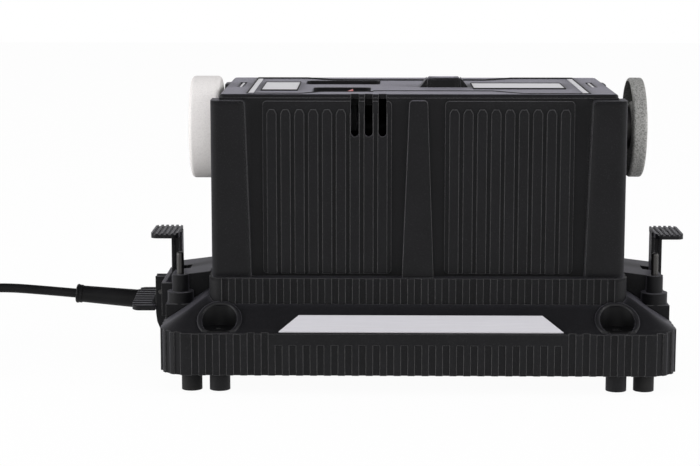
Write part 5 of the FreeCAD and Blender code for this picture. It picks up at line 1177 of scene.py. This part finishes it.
@dataclass
class RecessRims(ScrewRecess):
    """The rounded lips of the screw recesses."""

    radius: float = 9.5 * MM
    bead: float = 1.2 * MM
    rise: float = 1.15 * MM
    around: int = 72
    sides: int = 14

    def build(self, palette: Palette) -> Piece:
        """Lay a bead round each recess.

        Args:
            palette: The finishes.

        Returns:
            The beads.
        """
        beads = []
        for x, y in self.centres():
            Workbench.clear()
            bpy.ops.mesh.primitive_torus_add(
                major_radius=self.radius,
                minor_radius=self.bead,
                major_segments=self.around,
                minor_segments=self.sides,
                location=(x, y, 0),
            )
            bead = Workbench.take("bead")
            Workbench.fix()
            self.trim(y)
            middle = Vector((x, y))
            for vertex in bead.data.vertices:
                at = middle + (vertex.co.xy - middle).normalized() * self.radius
                vertex.co.z += self.height(at) - self.bead + self.rise
            beads.append(bead)
        rims = Workbench.joined(beads, "recess_rims")
        Workbench.settle(rims)
        palette.dress(rims, "charcoal_plastic", "rim_plastic")
        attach(rims, "frame")
        return rims


@dataclass
class RecessShadeCups(ScrewRecess):
    """Cups in the screw recesses, open below for the bench screws, in the darkest finish as
    painted shade inside the recesses.
    """

    hole: float = 2.6 * MM
    bore: float = 8.4 * MM
    wall: float = 0.6 * MM
    floor_z: float = 28.85 * MM
    floor: float = 0.6 * MM
    sampled: float = 11.0 * MM
    reveal: float = 0.9 * MM
    around: int = 64

    def raise_loop(self, height: float) -> None:
        """Draw the picked loop upwards by a height, or downwards by a negative one."""
        bpy.ops.mesh.extrude_edges_move(TRANSFORM_OT_translate={"value": (0, 0, height)})

    def swell(self, x: float, y: float, scale: float) -> None:
        """Draw the picked loop out into a wider or narrower one round a recess's centre."""
        bpy.ops.mesh.extrude_edges_move()
        bpy.ops.transform.resize(value=(scale, scale, 1), center_override=(x, y, 0))

    def cup(self, x: float, y: float) -> Piece:
        """One cup: from its hole over the floor, up the wall, over the brim and back underneath.

        Args:
            x: The recess's X.
            y: The recess's Y.

        Returns:
            The cup.
        """
        Workbench.clear()
        bpy.ops.mesh.primitive_circle_add(
            vertices=self.around, radius=self.hole, location=(x, y, self.floor_z)
        )
        cup = Workbench.take("cup")
        Workbench.fix()
        Workbench.edit()
        self.raise_loop(self.floor)
        self.swell(x, y, self.bore / self.hole)
        self.raise_loop(self.wall)
        self.swell(x, y, (self.bore + self.wall) / self.bore)
        self.raise_loop(-self.floor - self.wall)
        self.swell(x, y, self.hole / (self.bore + self.wall))
        Workbench.leave()
        middle, brim = Vector((x, y)), self.floor_z + self.floor + self.wall / 2
        for vertex in cup.data.vertices:
            if vertex.co.z > brim:
                at = middle + (vertex.co.xy - middle).normalized() * self.sampled
                vertex.co.z = max(vertex.co.z, self.height(at) - self.reveal)
        self.trim(y)
        return cup

    def build(self, palette: Palette) -> Piece:
        """Set a cup in each recess, dark as painted shade.

        Args:
            palette: The finishes.

        Returns:
            The cups.
        """
        cups = Workbench.joined([self.cup(x, y) for x, y in self.centres()], "recess_shade_cups")
        Workbench.settle(cups)
        # The darkest rubber finish paints the shade inside the recesses.
        palette.dress(cups, "cord_rubber")
        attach(cups, "frame")
        return cups


@dataclass
class CoverShadowLines:
    """Thin dark strips of painted shade: round the cover's sunk panel, past its front well, and
    round its cards, where the steps throw shadow lines.
    """

    panel: Outline = (
        (-82, -46),
        (-56, -46),
        (-46.2, -36.2),
        (-21.7, -36.2),
        (-21.7, -32),
        (36, -32),
        (50, -46),
        (82, -46),
        (82, 46),
        (50, 46),
        (36, 34.8),
        (-42, 34.8),
        (-56, 46),
        (-82, 46),
    )
    left_card: Outline = ((-76.35, -26.35), (-58.65, -26.35), (-58.65, 19.35), (-76.35, 19.35))
    right_card: Outline = ((27.65, -16.35), (72.85, -16.35), (72.85, 14.35), (27.65, 14.35))
    panel_level: float = 139.7 * MM
    card_level: float = 139.62 * MM
    radius: float = 0.36 * MM
    sides: int = 2

    def build(self, palette: Palette) -> Piece:
        """Lay the dark strips of painted shade and make them a mesh.

        Args:
            palette: The finishes.

        Returns:
            The seams.
        """
        shadow_lines = Workbench.tube("cover_shadow_lines", self.radius, self.sides)
        for outline, level in (
            (self.panel, self.panel_level),
            (self.left_card, self.card_level),
            (self.right_card, self.card_level),
        ):
            places = [(x * MM, y * MM, level) for x, y in outline]
            Workbench.spline(shadow_lines, "POLY", places).use_cyclic_u = True
        Workbench.hold(shadow_lines)
        bpy.ops.object.convert(target="MESH")
        shadow_lines = Workbench.take("cover_shadow_lines")
        Workbench.settle(shadow_lines)
        # The dark rubber finish paints the shadow lines.
        palette.dress(shadow_lines, "rubber")
        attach(shadow_lines, "frame")
        return shadow_lines


@dataclass
class SleeveLip:
    """The rounded lip at the cord end of the bend sleeve."""

    end: Vector = field(default_factory=SLEEVE_END.copy)
    way: Vector = field(default_factory=lambda: Vector(SLEEVE_STEP).normalized())
    radius: float = 4.0 * MM
    bead: float = 1.0 * MM
    inset: float = 0.7 * MM
    flat: float = 0.45 * MM
    sides: int = 16
    steps: int = 48

    def build(self, palette: Palette) -> Piece:
        """Flatten the bead's inner side, carry it round and set it on the sleeve.

        Args:
            palette: The finishes.

        Returns:
            The lip.
        """
        Workbench.clear()
        bpy.ops.mesh.primitive_circle_add(
            vertices=self.sides,
            radius=self.bead,
            location=(self.radius, 0, 0),
            rotation=Workbench.STANDING,
        )
        lip = Workbench.take("sleeve_lip")
        Workbench.fix()
        Workbench.edit()
        Workbench.pick(lip, lambda at: at.x < self.radius - self.flat)
        bpy.ops.transform.translate(value=(self.flat, 0, 0))
        bpy.ops.mesh.select_all(action="SELECT")
        bpy.ops.mesh.spin(steps=self.steps, angle=2 * math.pi, center=(0, 0, 0), axis=(0, 0, 1))
        Workbench.leave()
        lip.rotation_euler = self.way.to_track_quat("Z", "Y").to_euler()
        lip.location = self.end - self.way * self.inset
        Workbench.settle(lip)
        palette.dress(lip, "cord_rubber")
        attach(lip, "frame")
        return lip


@dataclass(frozen=True)
class Lamp:
    """A square soft lamp: its place and side in metres, its power in watts and its colour."""

    name: str
    at: tuple[float, float, float]
    side: float
    power: float
    colour: tuple[float, float, float] = (1.0, 1.0, 1.0)


LAMPS = (
    Lamp("overhead", (0.0, -0.7, 1.5), 1.2, 3.6, (0.93, 0.9, 1.0)),
    Lamp("left_side", (-1.5, -0.45, 0.2), 0.9, 19.0),
    Lamp("right_side", (1.5, -0.5, 0.5), 0.9, 14.0),
    Lamp("front", (0.0, -2.0, 0.6), 1.2, 9.0),
)


@dataclass
class Studio:
    """The camera at the photograph's place, soft lamps and a white bench top."""

    camera_at: Vector = field(default_factory=lambda: Vector((-18.83, -965.0, 221.4)) * MM)
    pitch: float = math.radians(9.212)
    yaw: float = math.radians(0.861)
    lens: float = 99.26
    sensor: float = 36.0
    aim: Vector = field(default_factory=lambda: Vector((0, 0, 0.07)))
    clip: Pair = (0.05, 100.0)
    fill: Colour = grey(0.56)
    ceiling: Colour = (0.12, 0.12, 0.13, 1.0)
    ceiling_at: Pair = (0.3, 0.62)
    front_share: float = 0.35
    front_way: float = -0.85
    front_place: float = -0.7
    side_y: float = -0.1
    floor_z: float = -1.5 * MM
    floor_side: float = 5.2
    floor_colour: Colour = grey(0.92)
    floor_white: float = 0.96

    def camera(self) -> None:
        """Set the camera."""
        data = bpy.data.cameras.new("camera")
        data.lens = self.lens
        data.sensor_width = self.sensor
        data.clip_start, data.clip_end = self.clip
        camera = bpy.data.objects.new("camera", data)
        camera.location = self.camera_at
        camera.rotation_euler = (math.pi / 2 - self.pitch, 0, self.yaw)
        bpy.context.collection.objects.link(camera)
        bpy.context.scene.camera = camera

    def lamps(self) -> None:
        """Hang the lamps, turned to the object."""
        for lamp in LAMPS:
            data = bpy.data.lights.new(lamp.name, "AREA")
            data.size = lamp.side
            data.energy = lamp.power
            data.color = lamp.colour
            piece = bpy.data.objects.new(lamp.name, data)
            piece.location = lamp.at
            way = self.aim - Vector(lamp.at)
            piece.rotation_euler = way.to_track_quat("-Z", "Y").to_euler()
            bpy.context.collection.objects.link(piece)

    def seen(self, graph: Graph, weight: float) -> Socket:
        """A factor for rays from the camera, mirrors and glass.

        Args:
            graph: The nodes of the surround or the floor.
            weight: The factor for these rays.

        Returns:
            That weight for these rays, and 0 for others.
        """
        rays = graph.add("ShaderNodeLightPath").outputs
        total = graph.computed("MAXIMUM", rays["Is Camera Ray"], rays["Is Glossy Ray"])
        total = graph.computed("MAXIMUM", total, rays["Is Transmission Ray"])
        return graph.computed("MULTIPLY", total, weight)

    def room(self, graph: Graph, towards: Socket, front: float) -> Socket:
        """The surround's strength: full, but for mirrors weaker towards the front of the room.

        Args:
            graph: The nodes of the surround or the floor.
            towards: Y of the direction or of the place.
            front: The Y where it is weakest.

        Returns:
            The strength.
        """
        limits = {"From Min": front, "From Max": self.side_y, "To Min": self.front_share}
        shade = graph.add("ShaderNodeMapRange", inputs={"Value": towards, **limits})
        mirrored = graph.add("ShaderNodeLightPath").outputs["Is Glossy Ray"]
        inputs = {
            MixIn.FACTOR: mirrored,
            MixIn.FLOAT_A: 1.0,
            MixIn.FLOAT_B: shade.outputs["Result"],
        }
        return graph.add("ShaderNodeMix", inputs=inputs).outputs[MixOut.FLOAT]

    def world(self) -> None:
        """A white surround under a dark ceiling, which lights the object only a little."""
        world = bpy.data.worlds.new("studio")
        world.use_nodes = True
        bpy.context.scene.world = world
        world.node_tree.nodes.clear()
        graph = Graph(world.node_tree)
        fill = graph.add("ShaderNodeBackground", inputs={"Color": self.fill})
        way = graph.add("ShaderNodeTexCoord").outputs["Generated"]
        split = graph.add("ShaderNodeSeparateXYZ", inputs={0: way})
        ceiling = graph.ramp(split.outputs["Z"], self.ceiling_at, grey(1.0), self.ceiling)
        strength = self.room(graph, split.outputs["Y"], self.front_way)
        white = graph.add("ShaderNodeBackground", inputs={"Color": ceiling, "Strength": strength})
        both = {0: self.seen(graph, 1.0), 1: fill.outputs[0], 2: white.outputs[0]}
        mix = graph.add("ShaderNodeMixShader", inputs=both)
        graph.add("ShaderNodeOutputWorld", inputs={0: mix.outputs[0]})

    def floor(self) -> None:
        """A pale floor that keeps the object's shadow."""
        Workbench.clear()
        bpy.ops.mesh.primitive_plane_add(size=self.floor_side, location=(0, 0, self.floor_z))
        floor = Workbench.take("floor")
        material = bpy.data.materials.new("floor")
        material.use_nodes = True
        material.node_tree.nodes.clear()
        graph = Graph(material.node_tree)
        matt = graph.add("ShaderNodeBsdfDiffuse", inputs={"Color": self.floor_colour})
        place = graph.add("ShaderNodeTexCoord").outputs["Object"]
        split = graph.add("ShaderNodeSeparateXYZ", inputs={0: place})
        strength = self.room(graph, split.outputs["Y"], self.front_place)
        white = graph.add("ShaderNodeEmission", inputs={"Strength": strength})
        both = {0: self.seen(graph, self.floor_white), 1: matt.outputs[0], 2: white.outputs[0]}
        mix = graph.add("ShaderNodeMixShader", inputs=both)
        graph.add("ShaderNodeOutputMaterial", inputs={0: mix.outputs[0]})
        floor.data.materials.append(material)

    def build(self) -> None:
        """Set up the camera, lamps, surround and floor."""
        bpy.context.scene.view_settings.view_transform = "Standard"
        self.camera()
        self.lamps()
        self.world()
        self.floor()


def main() -> None:
    """Dress the frame, add the pieces that it lacks and set the stage."""
    logging.basicConfig(level=logging.INFO)
    palette = Palette()
    palette.dress_nodes()
    LOG.info("dressed %d nodes", len(frame["nodes"]))
    Studio().build()
    makers = (
        PowerLead(),
        ReturnSpring("lock_spring", "lock_press", Line.UPRIGHT, 3, wire=0.45 * MM, keep=0.37),
        ReturnSpring("left_latch_spring", "left_latch_tilt", Line.LEVEL, fixed_end=1),
        ReturnSpring("right_latch_spring", "right_latch_tilt", Line.LEVEL),
        ArmatureCoils(),
        RibbedBelt(),
        RecessRims(),
        RecessShadeCups(),
        CoverShadowLines(),
        SleeveLip(),
    )
    for maker in makers:
        LOG.info("added %s", maker.build(palette).name)


if __name__ == "__main__":
    main()
